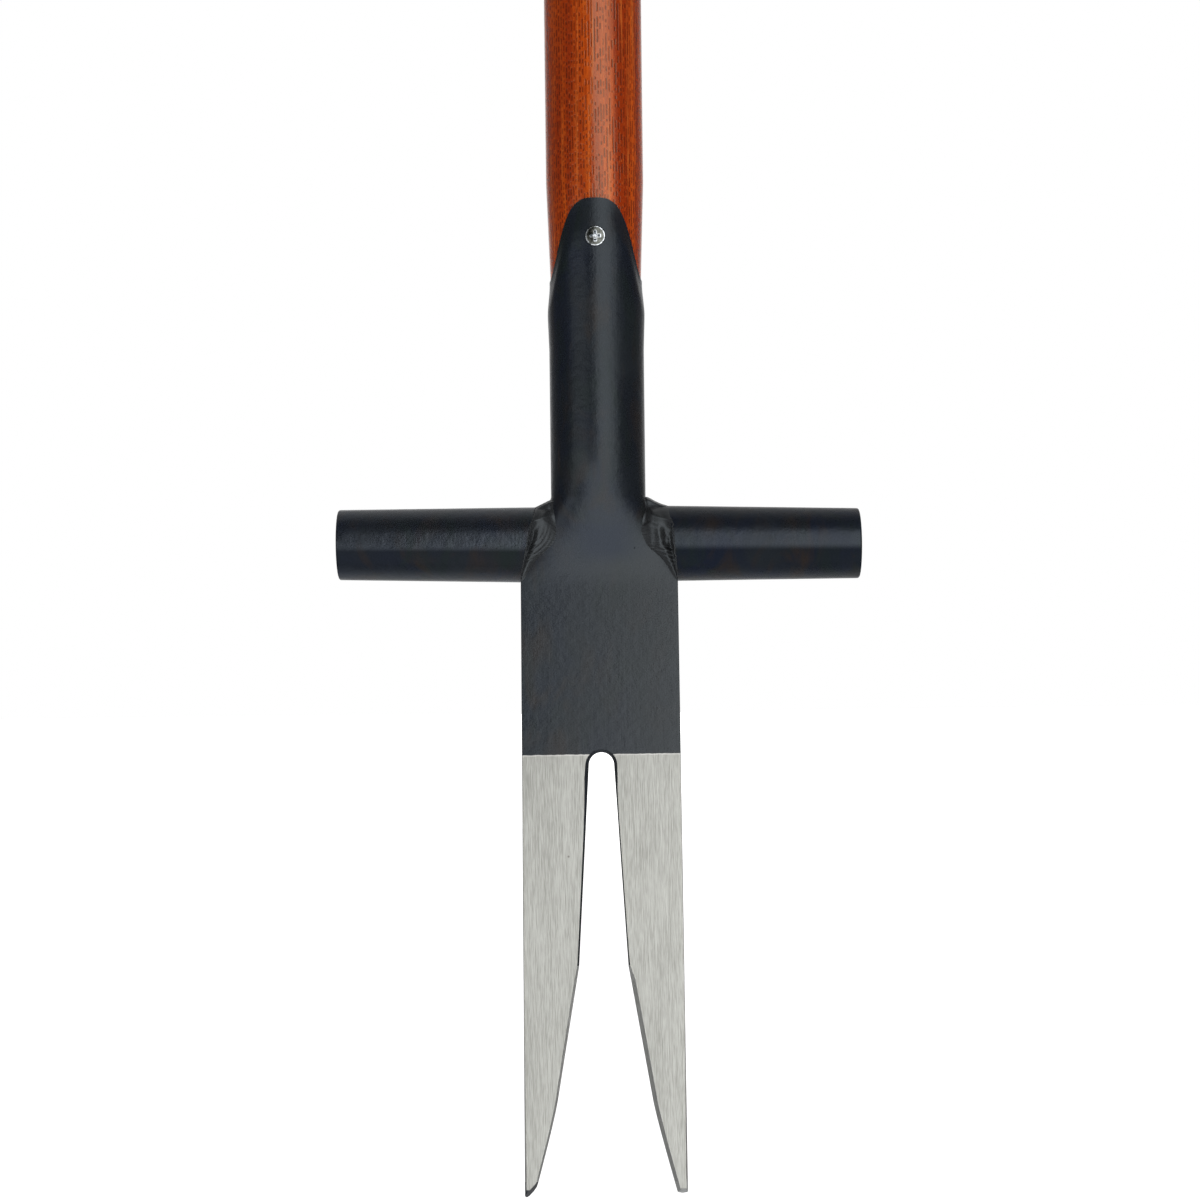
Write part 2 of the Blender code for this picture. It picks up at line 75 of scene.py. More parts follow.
def eased(share):
    share = min(1.0, max(0.0, share))
    return share * share * (3 - 2 * share)


def addPiece(name, mesh, material=None):
    piece = bpy.data.objects.new(name, mesh)
    bpy.context.scene.collection.objects.link(piece)
    if material:
        mesh.materials.append(material)
    return piece


def shadeByAngle(mesh, angle=32):
    mesh.shade_smooth()
    mesh.set_sharp_from_angle(angle=math.radians(angle))


# Skins a row of rings; a ring of one point closes an end
def loft(name, rings, sharpAngle=32):
    shape = bmesh.new()
    rows = [[shape.verts.new(point) for point in ring] for ring in rings]
    for lower, upper in zip(rows, rows[1:]):
        count = max(len(lower), len(upper))
        for i in range(count):
            j = (i + 1) % count
            corners = [lower[i % len(lower)], lower[j % len(lower)], upper[j % len(upper)], upper[i % len(upper)]]
            shape.faces.new(list(dict.fromkeys(corners)))
    for end in (rows[0], rows[-1]):
        if len(end) > 1:
            shape.faces.new(end)
    bmesh.ops.remove_doubles(shape, verts=shape.verts, dist=mergeDistance)
    bmesh.ops.recalc_face_normals(shape, faces=shape.faces)
    mesh = bpy.data.meshes.new(name)
    shape.to_mesh(mesh)
    shape.free()
    shadeByAngle(mesh, sharpAngle)
    return mesh


# Rings of a turned shape from (distance, radius) pairs
def turned(profile, along, across, count, origin=(0, 0, 0)):
    along, across, origin = Vector(along), Vector(across), Vector(origin)
    third = along.cross(across)
    rings = []
    for distance, radius in profile:
        centre = origin + along * distance
        if radius == 0:
            rings.append([centre])
            continue
        turns = [2 * math.pi * (i + 0.5) / count for i in range(count)]
        rings.append([centre + radius * (across * math.cos(t) + third * math.sin(t)) for t in turns])
    return rings


def turnedPiece(name, profile, along, across, count, origin=(0, 0, 0)):
    return addPiece(name, loft(name, turned(profile, along, across, count, origin)))


# Cuts a piece with meshes, leaves it a plain mesh and gives it its material
def carve(piece, cutters, material, sharpAngle=32):
    for cutter in cutters:
        modifier = piece.modifiers.new("cut", "BOOLEAN")
        modifier.operation = "DIFFERENCE"
        modifier.object = cutter
    bakeModifiers(piece)
    for cutter in cutters:
        bpy.data.objects.remove(cutter)
    shadeByAngle(piece.data, sharpAngle)
    piece.data.materials.clear()
    piece.data.materials.append(material)


def bakeModifiers(piece):
    bpy.context.view_layer.update()
    graph = bpy.context.evaluated_depsgraph_get()
    baked = bpy.data.meshes.new_from_object(piece.evaluated_get(graph))
    piece.modifiers.clear()
    baked.name = piece.name
    piece.data = baked


def put(piece, node):
    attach(piece, "root")
    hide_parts(node)


# Node helpers, the same for materials and for geometry. A value is a number or another node's output
def addNode(tree, kind, **settings):
    made = tree.nodes.new(kind)
    for key, value in settings.items():
        setattr(made, key, value)
    return made


def feed(tree, socket, value):
    if isinstance(value, bpy.types.NodeSocket):
        tree.links.new(value, socket)
    elif value is not None:
        socket.default_value = value


def calc(tree, operation, first, second=None, third=None, clamp=False):
    made = addNode(tree, "ShaderNodeMath", operation=operation, use_clamp=clamp)
    for socket, value in zip(made.inputs, (first, second, third)):
        feed(tree, socket, value)
    return made.outputs[0]


def plus(tree, first, second):
    return calc(tree, "ADD", first, second)


def minus(tree, first, second):
    return calc(tree, "SUBTRACT", first, second)


def times(tree, first, second):
    return calc(tree, "MULTIPLY", first, second)


def unsigned(tree, value):
    return calc(tree, "ABSOLUTE", value)


def spread(tree, value, fromLow, fromHigh, toLow=0.0, toHigh=1.0, smooth=False):
    made = addNode(tree, "ShaderNodeMapRange", interpolation_type="SMOOTHSTEP" if smooth else "LINEAR")
    for socket, number in zip(made.inputs, (value, fromLow, fromHigh, toLow, toHigh)):
        feed(tree, socket, number)
    return made.outputs[0]


def objectPlace(tree, scale=(1, 1, 1), move=(0, 0, 0), turn=(0, 0, 0)):
    coordinates = addNode(tree, "ShaderNodeTexCoord")
    mapping = addNode(tree, "ShaderNodeMapping")
    mapping.inputs["Scale"].default_value = scale
    mapping.inputs["Location"].default_value = move
    mapping.inputs["Rotation"].default_value = turn
    tree.links.new(coordinates.outputs["Object"], mapping.inputs["Vector"])
    return mapping.outputs["Vector"]


def cloud(tree, place, scale, detail=2.0, roughness=0.5, twist=0.0):
    made = addNode(tree, "ShaderNodeTexNoise")
    for name, value in (("Vector", place), ("Scale", scale), ("Detail", detail), ("Roughness", roughness),
                        ("Distortion", twist)):
        feed(tree, made.inputs[name], value)
    return made.outputs["Fac"]


def speckle(tree, place, scale, size, rarity=0.86):
    made = addNode(tree, "ShaderNodeTexVoronoi")
    feed(tree, made.inputs["Vector"], place)
    feed(tree, made.inputs["Scale"], scale)
    rare = calc(tree, "GREATER_THAN", separate(tree, made.outputs["Color"])[0], rarity)
    return times(tree, spread(tree, made.outputs["Distance"], size, size * 0.5), rare)


def separate(tree, vector):
    made = addNode(tree, "ShaderNodeSeparateXYZ")
    feed(tree, made.inputs[0], vector)
    return made.outputs


def blendColour(tree, share, first, second):
    made = addNode(tree, "ShaderNodeMix", data_type="RGBA")
    feed(tree, made.inputs[0], share)
    for socket, value in ((made.inputs[6], first), (made.inputs[7], second)):
        feed(tree, socket, value if isinstance(value, bpy.types.NodeSocket) else (*value, 1))
    return made.outputs[2]


def bumpFrom(tree, height, distance):
    made = addNode(tree, "ShaderNodeBump")
    made.inputs["Distance"].default_value = distance
    feed(tree, made.inputs["Height"], height)
    return made.outputs["Normal"]


def facingAlong(tree, axis):
    return separate(tree, addNode(tree, "ShaderNodeTexCoord").outputs["Normal"])[axis]


def startMaterial(name, **sockets):
    material = bpy.data.materials.new(name)
    material.use_nodes = True
    shader = material.node_tree.nodes["Principled BSDF"]
    for key, value in sockets.items():
        shader.inputs[key].default_value = value
    return material, material.node_tree, shader


# Blue-black coating on the forged steel: cloudy, faintly brushed, with a few pits
coatLooks = {
    "dark": (0.0080, 0.0100, 0.0145),
    "light": (0.0125, 0.0155, 0.0190),
    "blue": (0.0070, 0.0100, 0.0210),
    "brown": (0.0200, 0.0150, 0.0130),
    "green": (0.0090, 0.0138, 0.0130),
    # painted light: a paler colour that the coating is blended towards where light is painted in
    "paintedLight": (0.0330, 0.0345, 0.0360),
    "reflection": (0.83, 0.93, 1.0, 1),
    "ior": 1.41,
    "roughness": (0.25, 0.36),
    "bump": 0.00012,
    "patchScale": 34, "tingeScale": 21, "stainScale": 75, "gritScale": 1500, "waveScale": 260,
    # the pits' near-black colour is painted shade
    "brushScales": (1100, 1100, 26), "pitScale": 130, "pitSize": 0.045, "pitShade": (0.0015, 0.0015, 0.002),
}


def coatParts(tree, seed):
    looks, place = coatLooks, objectPlace(tree, move=(seed, seed * 0.7, 0))
    patches = cloud(tree, place, looks["patchScale"], 3, 0.55, 0.4)
    grit = cloud(tree, place, looks["gritScale"], 2)
    brushed = cloud(tree, objectPlace(tree, looks["brushScales"]), 1, 3)
    pits = speckle(tree, place, looks["pitScale"], looks["pitSize"])
    colour = blendColour(tree, spread(tree, patches, 0.35, 0.65), looks["dark"], looks["light"])
    tinge = cloud(tree, objectPlace(tree, move=(0, seed, seed)), looks["tingeScale"], 3, 0.6, 0.5)
    colour = blendColour(tree, spread(tree, tinge, 0.45, 0.7), colour, looks["blue"])
    for name, shift in (("brown", 40), ("green", 80)):
        stain = cloud(tree, objectPlace(tree, (1, 1, 0.45), (shift, seed, 0)), looks["stainScale"], 3, 0.6, 0.6)
        colour = blendColour(tree, spread(tree, stain, 0.50, 0.72), colour, looks[name])
    # Painted shade: pits are darkened in colour as well as dented in the bump
    colour = blendColour(tree, times(tree, pits, 0.8), colour, looks["pitShade"])
    roughness = spread(tree, patches, 0.3, 0.7, *looks["roughness"])
    roughness = plus(tree, roughness, spread(tree, grit, 0.3, 0.7, -0.05, 0.05))
    height = plus(tree, times(tree, grit, 0.35), times(tree, brushed, 0.25))
    height = minus(tree, height, times(tree, pits, 2.5))
    height = plus(tree, height, times(tree, cloud(tree, place, looks["waveScale"], 2), 1.2))
    return colour, roughness, height


def coatedSteel(name, seed, dullBelow=0.0, paintedLight=0.0, ior=coatLooks["ior"], reflection=coatLooks["reflection"]):
    material, tree, shader = startMaterial(name, **{"IOR": ior, "Specular Tint": reflection})
    colour, roughness, height = coatParts(tree, seed)
    feed(tree, shader.inputs["Roughness"], roughness)
    if dullBelow:
        # Boots polish the top; the underside keeps its dull skin
        facing = facingAlong(tree, 2)
        dull = times(tree, spread(tree, facing, 0.0, -0.22, smooth=True),
                    spread(tree, facing, -0.92, -0.55, 0.2, 1.0, smooth=True))
        feed(tree, shader.inputs["Specular IOR Level"], spread(tree, dull, 0.0, 1.0, 0.5, 0.5 * (1 - dullBelow)))
    # Painted light: the colour is blended towards the paler painted-light colour
    if paintedLight:
        colour = blendColour(tree, paintedLight, colour, coatLooks["paintedLight"])
    feed(tree, shader.inputs["Base Color"], colour)
    feed(tree, shader.inputs["Normal"], bumpFrom(tree, height, coatLooks["bump"]))
    return material


# The head's coating stops in a crisp line at the top of the notch; below it both faces are ground bright
groundLooks = {
    "lineHeight": 0.1876, "lineSlope": 0.0034, "lineWobble": 0.00012, "lineBlur": 0.0001,
    "edgeHeight": 0.0985,      # below this the tines' edges are ground too
    "low": (0.265, 0.265, 0.245), "high": (0.435, 0.438, 0.412),
    "roughness": (0.38, 0.50),
    "streaks": (2600, 2600, 85), "hair": (4200, 4200, 200), "tone": (110, 110, 22),
    "streakLean": math.radians(1.2),
    # painted highlight: the ground steel turns near white where its faces round off into edges and bevels
    "paintedEdgeHighlight": 0.75, "edgeHighlightColour": (0.95, 0.95, 0.93),
    # painted shade: the ground steel darkens towards the tips
    "tipShare": 0.92, "tipShadeStart": 0.13,    # how bright the steel still is at the tips
    # the slanting ends of the tines keep their coating below these heights, the right one only in part
    "slantHeight": 0.0075, "frontSlantHeight": 0.0041, "rightTip": 0.30,
    "nickScale": 75, "nickSize": 0.05, "nick": (0.14, 0.13, 0.12),
    "burrWidth": 0.0003, "burr": (0.75, 0.73, 0.72),
    # painted light: the coating turns paler towards the right below the first height; forge scale marks the neck
    # round (x, z)
    "paintedLightHeights": (0.300, 0.265), "paintedLightHalfWidth": 0.035, "paintedLightShares": (0.05, 0.85),
    "scalePlace": (0.0020, 0.2775), "scaleAcross": (0.0210, 0.0040), "scaleUp": (0.0120, 0.0030), "scaleShare": 0.85,
}


# The coating's colour on the head, with painted light below the neck, paler towards the right, and scale on it
def headCoat(tree, colour, x, z):
    looks, half = groundLooks, groundLooks["paintedLightHalfWidth"]
    # Painted light: the coating below the neck is blended towards the paler colour, more on the right
    paintedLightShare = times(tree, spread(tree, z, *looks["paintedLightHeights"], smooth=True),
                  spread(tree, x, -half, half, *looks["paintedLightShares"]))
    colour = blendColour(tree, paintedLightShare, colour, coatLooks["paintedLight"])
    across = unsigned(tree, minus(tree, x, looks["scalePlace"][0]))
    up = unsigned(tree, minus(tree, z, looks["scalePlace"][1]))
    scale = times(tree, spread(tree, up, *looks["scaleUp"], smooth=True),
                  spread(tree, across, *looks["scaleAcross"], 0.0, looks["scaleShare"], smooth=True))
    return blendColour(tree, scale, colour, coatLooks["blue"])


# Ground steel's colour and the streaks in it
def groundSteel(tree, z, flat, below):
    looks, lean = groundLooks, (0, groundLooks["streakLean"], 0)
    streaks = cloud(tree, objectPlace(tree, looks["streaks"], turn=lean), 1, 2, 0.6, 0.1)
    hair = cloud(tree, objectPlace(tree, looks["hair"], turn=lean), 1, 2, 0.6)
    tone = cloud(tree, objectPlace(tree, looks["tone"]), 1, 3)
    marks = plus(tree, times(tree, streaks, 0.5), times(tree, hair, 0.35))
    marks = plus(tree, marks, times(tree, tone, 0.15))
    steel = blendColour(tree, spread(tree, marks, 0.40, 0.60), looks["low"], looks["high"])
    # Painted shade: the steel is darkened towards the tips
    paintedTipShade = spread(tree, z, looks["tipShadeStart"], 0.0, 0.0, 1 - looks["tipShare"])
    steel = blendColour(tree, paintedTipShade, steel, (0, 0, 0))
    # Painted highlight: where the ground faces turn into edges and bevels the steel is blended towards near white
    steel = blendColour(tree, spread(tree, flat, 1.0, 0.0, 0.0, looks["paintedEdgeHighlight"]), steel, looks["edgeHighlightColour"])
    nicks = speckle(tree, objectPlace(tree), looks["nickScale"], looks["nickSize"])
    steel = blendColour(tree, times(tree, nicks, 0.75), steel, looks["nick"])
    width = looks["burrWidth"]
    burr = spread(tree, unsigned(tree, minus(tree, below, width)), width, width / 3)
    return blendColour(tree, times(tree, burr, 0.35), steel, looks["burr"]), streaks, marks


def headSteel():
    material, tree, shader = startMaterial("coated and ground steel", **{"Specular Tint": coatLooks["reflection"],
                                                                        "IOR": coatLooks["ior"]})
    looks = groundLooks
    colour, roughness, height = coatParts(tree, 0.0)
    x, _, z = separate(tree, addNode(tree, "ShaderNodeTexCoord").outputs["Object"])
    colour = headCoat(tree, colour, x, z)
    facing = unsigned(tree, facingAlong(tree, 1))
    wobble = spread(tree, cloud(tree, objectPlace(tree), 320, 2), 0.3, 0.7, -looks["lineWobble"], looks["lineWobble"])
    line = plus(tree, times(tree, x, looks["lineSlope"]), looks["lineHeight"])
    below = minus(tree, plus(tree, line, wobble), z)
    kept = spread(tree, x, -0.001, 0.001, 0.0, looks["rightTip"])
    flat = spread(tree, facing, 0.80, 0.92)
    flat = times(tree, flat, calc(tree, "MAXIMUM", calc(tree, "GREATER_THAN", z, looks["frontSlantHeight"]), kept))
    edge = times(tree, spread(tree, facing, 0.10, 0.30), calc(tree, "LESS_THAN", z, looks["edgeHeight"]))
    edge = times(tree, edge, calc(tree, "MAXIMUM", calc(tree, "GREATER_THAN", z, looks["slantHeight"]), kept))
    isBelow = spread(tree, below, -looks["lineBlur"], looks["lineBlur"])
    ground = times(tree, isBelow, calc(tree, "MAXIMUM", flat, edge))
    steel, streaks, marks = groundSteel(tree, z, flat, below)
    feed(tree, shader.inputs["Base Color"], blendColour(tree, ground, colour, steel))
    feed(tree, shader.inputs["Metallic"], ground)
    bright = spread(tree, streaks, 0.3, 0.7, *looks["roughness"])
    feed(tree, shader.inputs["Roughness"], plus(tree, roughness, times(tree, minus(tree, bright, roughness), ground)))
    coating = times(tree, height, minus(tree, 1.0, ground))
    brushing = times(tree, times(tree, marks, 0.5), ground)
    feed(tree, shader.inputs["Normal"], bumpFrom(tree, plus(tree, coating, brushing), coatLooks["bump"]))
    return material


# Varnished, red-brown stained ash: rows of short open pores along the grain, paler stripes between
woodLooks = {
    "base": (0.57, 0.082, 0.0038),
    "deep": (0.30, 0.028, 0.0016),
    "pale": (0.68, 0.165, 0.0280),
    "pore": (0.085, 0.0080, 0.0010),
    "gloss": (1.0, 0.93, 0.68, 1),
    "sawn": (0.30, 0.045, 0.006),
    "ior": 1.56, "roughness": 0.15, "bump": 0.00005,
    "rows": 100,             # rows of pores round the surface
    "sway": 5.0,             # how many rows a row wanders over
    "poreLength": 0.0042, "ringWidth": 0.0026, "ringWander": 0.004,
}


def stainedAsh(name, along, seed, centre=(0, 0, 0)):
    material, tree, shader = startMaterial(name, **{"IOR": woodLooks["ior"], "Specular Tint": woodLooks["gloss"]})
    axis = "XYZ".index(along)

    # Scales that stretch a pattern along the grain
    def grained(fine, long, move=(0, 0, 0)):
        return objectPlace(tree, tuple(long if i == axis else fine for i in range(3)), move)

    parts = separate(tree, objectPlace(tree, move=tuple(-part for part in centre)))
    across = [parts[i] for i in range(3) if i != axis]
    bearing = calc(tree, "DIVIDE", calc(tree, "ARCTAN2", across[1], across[0]), 2 * math.pi)
    sway = cloud(tree, grained(26, 3.0, (seed, seed, seed)), 1, 2)
    turn = plus(tree, times(tree, bearing, woodLooks["rows"]), times(tree, sway, woodLooks["sway"]))
    row = calc(tree, "FLOOR", turn)
    chance = addNode(tree, "ShaderNodeTexWhiteNoise", noise_dimensions="1D")
    feed(tree, chance.inputs["W"], row)
    inRow = unsigned(tree, minus(tree, calc(tree, "FRACT", turn), 0.5))
    step = plus(tree, calc(tree, "DIVIDE", parts[axis], woodLooks["poreLength"]),
                times(tree, chance.outputs["Value"], 40))
    pair = addNode(tree, "ShaderNodeCombineXYZ")
    feed(tree, pair.inputs[0], step)
    feed(tree, pair.inputs[1], times(tree, row, 3.7))
    dashes = addNode(tree, "ShaderNodeTexNoise", noise_dimensions="2D")
    for socket, value in (("Vector", pair.outputs[0]), ("Scale", 1.9), ("Detail", 0.0)):
        feed(tree, dashes.inputs[socket], value)
    dash = times(tree, spread(tree, dashes.outputs["Fac"], 0.45, 0.53), spread(tree, inRow, 0.36, 0.14))
    broad = cloud(tree, grained(150, 4, (0, seed, 0)), 1, 3)
    bands = cloud(tree, grained(430, 9, (seed, 0, seed)), 1, 3, 0.6)
    fibres = cloud(tree, grained(1500, 90, (seed, 0, 0)), 1, 3, 0.65)
    flecks = cloud(tree, grained(2100, 650, (0, 0, seed)), 1, 2)
    dash = times(tree, dash, spread(tree, bands, 0.62, 0.42, 0.55, 1.0))
    colour = blendColour(tree, spread(tree, broad, 0.40, 0.58), woodLooks["deep"], woodLooks["base"])
    for share, stain in ((spread(tree, bands, 0.54, 0.70, 0.0, 0.9), "pale"),
                         (spread(tree, fibres, 0.58, 0.38, 0.0, 0.65), "deep"),
                         (spread(tree, flecks, 0.58, 0.72, 0.0, 0.35), "pale"), (times(tree, dash, 0.8), "pore")):
        colour = blendColour(tree, share, colour, woodLooks[stain])

    # Sawn ends: growth rings with dots of pores
    endFace = spread(tree, unsigned(tree, facingAlong(tree, axis)), 0.82, 0.93)
    wander = times(tree, cloud(tree, grained(60, 0), 1, 2), woodLooks["ringWander"])
    rings = calc(tree, "FRACT", calc(tree, "DIVIDE", plus(tree, across[1], wander), woodLooks["ringWidth"]))
    dots = spread(tree, cloud(tree, objectPlace(tree, move=(seed, 0, 0)), 2600, 1), 0.56, 0.64)
    sawn = blendColour(tree, spread(tree, rings, 0.3, 1.0), woodLooks["deep"], woodLooks["sawn"])
    sawn = blendColour(tree, times(tree, dots, spread(tree, rings, 0.6, 0.1)), sawn, woodLooks["pore"])
    feed(tree, shader.inputs["Base Color"], blendColour(tree, endFace, colour, sawn))
    gloss = spread(tree, fibres, 0.3, 0.7, woodLooks["roughness"] * 0.8, woodLooks["roughness"] * 1.3)
    feed(tree, shader.inputs["Roughness"], plus(tree, gloss, times(tree, endFace, 0.2)))
    height = minus(tree, times(tree, fibres, 0.5), dash)
    feed(tree, shader.inputs["Normal"], bumpFrom(tree, height, woodLooks["bump"]))
    return material


def brightMetal(name, colour, roughness, seed):
    material, tree, shader = startMaterial(name, **{"Metallic": 1.0})
    place = objectPlace(tree, move=(seed, 0, seed))
    grain = cloud(tree, place, 1800, 3)
    dull = cloud(tree, place, 420, 3)
    tarnished = tuple(0.62 * part for part in colour)
    feed(tree, shader.inputs["Base Color"], blendColour(tree, spread(tree, dull, 0.35, 0.7), colour, tarnished))
    feed(tree, shader.inputs["Roughness"], spread(tree, grain, 0.3, 0.7, roughness * 0.7, roughness * 1.5))
    feed(tree, shader.inputs["Normal"], bumpFrom(tree, grain, 0.00004))
    return material


# The forged head: blade, neck and socket in one skin, then the notch and the screw holes are cut
headSizes = {
    "tineLength": 0.1883, "topWidth": 0.0662, "tipWidth": 0.0688,
    "thickness": 0.0070, "tipThickness": 0.0040,
    "edgeRound": 0.0004, "tipEdgeRound": 0.0011, "taperHeight": 0.0700,
    "shoulderHeight": 0.2601, "shoulderRise": 0.0359,
    "flattenStart": 0.2560, "flattenLength": 0.0600, "flattenSteps": 48,
    "neckRounding": 0.85, "roundingShare": 0.45,     # how round the neck's flats are, and how soon
    "socketDiameter": 0.0399, "socketWall": 0.0018, "socketFloor": 0.3060,
    "rimHeight": 0.3865, "tongueHeight": 0.4192,
    "tongueHalfAngle": math.radians(47), "tongueSteepness": 2.85,
    "boreGap": 0.00012, "rimEdge": 0.00035, "rimFeather": 0.0150, "rimWaveStart": 0.3480,
    "cornerPoints": 22, "frontPoints": 30, "sidePoints": 4,
    "ringHeights": (0.0, 0.0175, 0.035, 0.0525, 0.07, 0.1, 0.13, 0.16, 0.21, 0.235, 0.25, 0.325, 0.336),
}

notchSizes = {
    "throatRadius": 0.0053,
    "kink": (0.0104, 0.0980),
    "bend": (0.0201, 0.0413),
    "curve": (0.0216, 0.0328),
    "tipRadius": 0.0022, "tipCornerAngle": math.radians(20),
    "chamferChange": 0.0060, "lead": 0.0004, "beyond": 0.0100,
    # (height, width) of the broken edge, from the tips up to the throat
    "leftChamfer": ((0.0, 0.0008), (0.06, 0.0011), (0.09, 0.0012), (0.1, 0.0008), (0.155, 0.0009), (0.17, 0.0012),
                    (0.179, 0.0017), (0.186, 0.0014)),
    "rightChamfer": ((0.0, 0.0016), (0.06, 0.0019), (0.092, 0.0019), (0.099, 0.0006), (0.165, 0.0005),
                     (0.172, 0.0007), (0.179, 0.0012), (0.186, 0.0014)),
}

shaftSizes = {
    "diameter": 0.0410, "footDiameter": 0.0324, "footChamfer": 0.0015,
    "taperTop": 0.4280, "slimStart": 0.5200, "neckDiameter": 0.0340,
    "tenonDiameter": 0.0240, "toolHeight": 1.1560, "tenonRecess": 0.0005,
    "around": 128,
}

gripSizes = {
    "length": 0.1400, "diameter": 0.0380, "endDiameter": 0.0335, "endRound": 0.0080,
    "around": 128, "mortiseAround": 96, "holeReach": 0.0300,
}
gripAxis = shaftSizes["toolHeight"] - gripSizes["diameter"] / 2


def shaftRadius(height):
    foot, top = headSizes["socketFloor"], shaftSizes["taperTop"]
    if height < top:
        return mix(shaftSizes["footDiameter"], shaftSizes["diameter"], (height - foot) / (top - foot)) / 2
    share = (height - shaftSizes["slimStart"]) / (gripAxis - shaftSizes["slimStart"])
    return mix(shaftSizes["diameter"], shaftSizes["neckDiameter"], share) / 2


def boreRadius(height):
    return shaftRadius(height) + headSizes["boreGap"]


def socketRadius(height, belowRim=1.0):
    full = max(headSizes["socketDiameter"] / 2, boreRadius(height) + headSizes["socketWall"])
    edge = boreRadius(height) + headSizes["rimEdge"]
    return mix(edge, full, eased(belowRim / headSizes["rimFeather"]))


def rimAt(angle):
    fromFront = math.acos(min(1.0, abs(math.sin(angle))))
    steep = (math.tan(fromFront) / math.tan(headSizes["tongueHalfAngle"])) ** headSizes["tongueSteepness"]
    return headSizes["rimHeight"] + (headSizes["tongueHeight"] - headSizes["rimHeight"]) / (1 + steep)


def headHalfWidth(height):
    if height <= headSizes["shoulderHeight"]:
        return mix(headSizes["tipWidth"], headSizes["topWidth"], height / headSizes["shoulderHeight"]) / 2
    share = (height - headSizes["shoulderHeight"]) / headSizes["shoulderRise"]
    return mix(headSizes["topWidth"], headSizes["socketDiameter"], share) / 2


def headHalfDepth(height):
    if height <= headSizes["flattenStart"]:
        return mix(headSizes["tipThickness"], headSizes["thickness"], height / headSizes["tineLength"]) / 2
    share = eased((height - headSizes["flattenStart"]) / headSizes["flattenLength"])
    return mix(headSizes["thickness"], headSizes["socketDiameter"], share) / 2


def headCorner(height):
    if height <= headSizes["flattenStart"]:
        return mix(headSizes["tipEdgeRound"], headSizes["edgeRound"], height / headSizes["taperHeight"])
    share = eased(1.4 * (height - headSizes["flattenStart"]) / headSizes["flattenLength"])
    return mix(headSizes["edgeRound"], min(headHalfWidth(height), headHalfDepth(height)), share)


# The neck's flats are hammered from a tube, so they stay a little round
def neckRound(x, y, height):
    share = eased((height - headSizes["flattenStart"]) / (headSizes["roundingShare"] * headSizes["flattenLength"]))
    oval = headHalfDepth(height) * math.sqrt(max(0.0, 1 - (x / headHalfWidth(height)) ** 2))
    return mix(y, math.copysign(oval, y), headSizes["neckRounding"] * share)


def neckFaceDepth(x, height):
    corner = headCorner(height)
    intoCorner = max(0.0, x - (headHalfWidth(height) - corner))
    square = headHalfDepth(height) - corner + math.sqrt(max(0.0, corner ** 2 - intoCorner ** 2))
    return neckRound(x, square, height)


# One lap round a level section: corner, face, corner, side, as (direction, share of the flat in x, in y)
def sectionLap():
    lap = []
    corner, front, side = headSizes["cornerPoints"], headSizes["frontPoints"], headSizes["sidePoints"]
    for quarter in range(4):
        start = quarter * math.pi / 2
        signX, signY = ((1, 1), (-1, 1), (-1, -1), (1, -1))[quarter]
        for i in range(corner + 1):
            lap.append((start + math.pi / 2 * i / corner, signX, signY))
        straight = front if quarter % 2 == 0 else side
        for i in range(1, straight):
            share = 1 - 2 * i / straight
            nextTurn = start + math.pi / 2
            lap.append((nextTurn, signX * share, signY) if quarter % 2 == 0 else (nextTurn, signX, signY * share))
    return lap


def headSection(height):
    corner = headCorner(height)
    flatX, flatY = headHalfWidth(height) - corner, headHalfDepth(height) - corner
    section = [(flatX * shareX + corner * math.cos(turn), flatY * shareY + corner * math.sin(turn))
               for turn, shareX, shareY in sectionLap()]
    return [Vector((x, neckRound(x, y, height), height)) for x, y in section]


def socketRing(share, radiusAt):
    ring = []
    for turn, _, _ in sectionLap():
        rim = rimAt(turn)
        height = mix(headSizes["rimWaveStart"], rim, share)
        radius = radiusAt(height, rim - height)
        ring.append(Vector((radius * math.cos(turn), radius * math.sin(turn), height)))
    return ring


def headBody():
    sizes, steps = headSizes, headSizes["flattenSteps"]
    levels = [*sizes["ringHeights"], sizes["tineLength"], sizes["shoulderHeight"],
              sizes["shoulderHeight"] + sizes["shoulderRise"]]
    levels += [sizes["flattenStart"] + sizes["flattenLength"] * i / steps for i in range(steps + 1)]
    rings = [headSection(level) for level in sorted(set(levels))]
    rings += [socketRing(i / 20, socketRadius) for i in range(21)]
    rings += [socketRing(1.0, lambda height, belowRim: boreRadius(height) + sizes["rimEdge"] * 0.5)]
    rings += [socketRing(share, lambda height, belowRim: boreRadius(height)) for share in (1.0, 0.7, 0.4, 0.0)]
    floor = sizes["socketFloor"] - seatGap
    bore = boreRadius(floor)
    rings.append([Vector((bore * math.cos(turn), bore * math.sin(turn), floor))
                  for turn, _, _ in sectionLap()])
    return loft("forked head", rings)


def touchBearing(centre, radius, outside):
    away = outside - centre
    return math.atan2(away.y, away.x) + math.acos(min(1.0, radius / away.length))


def fromTable(table, height):
    for (low, lowWidth), (high, highWidth) in zip(table, table[1:]):
        if height < high:
            return mix(lowWidth, highWidth, (height - low) / (high - low))
    return table[-1][1]


def arcPoints(centre, radius, start, end, steps):
    bearings = [start + (end - start) * i / steps for i in range(steps + 1)]
    return [centre + radius * Vector((math.cos(b), math.sin(b))) for b in bearings]


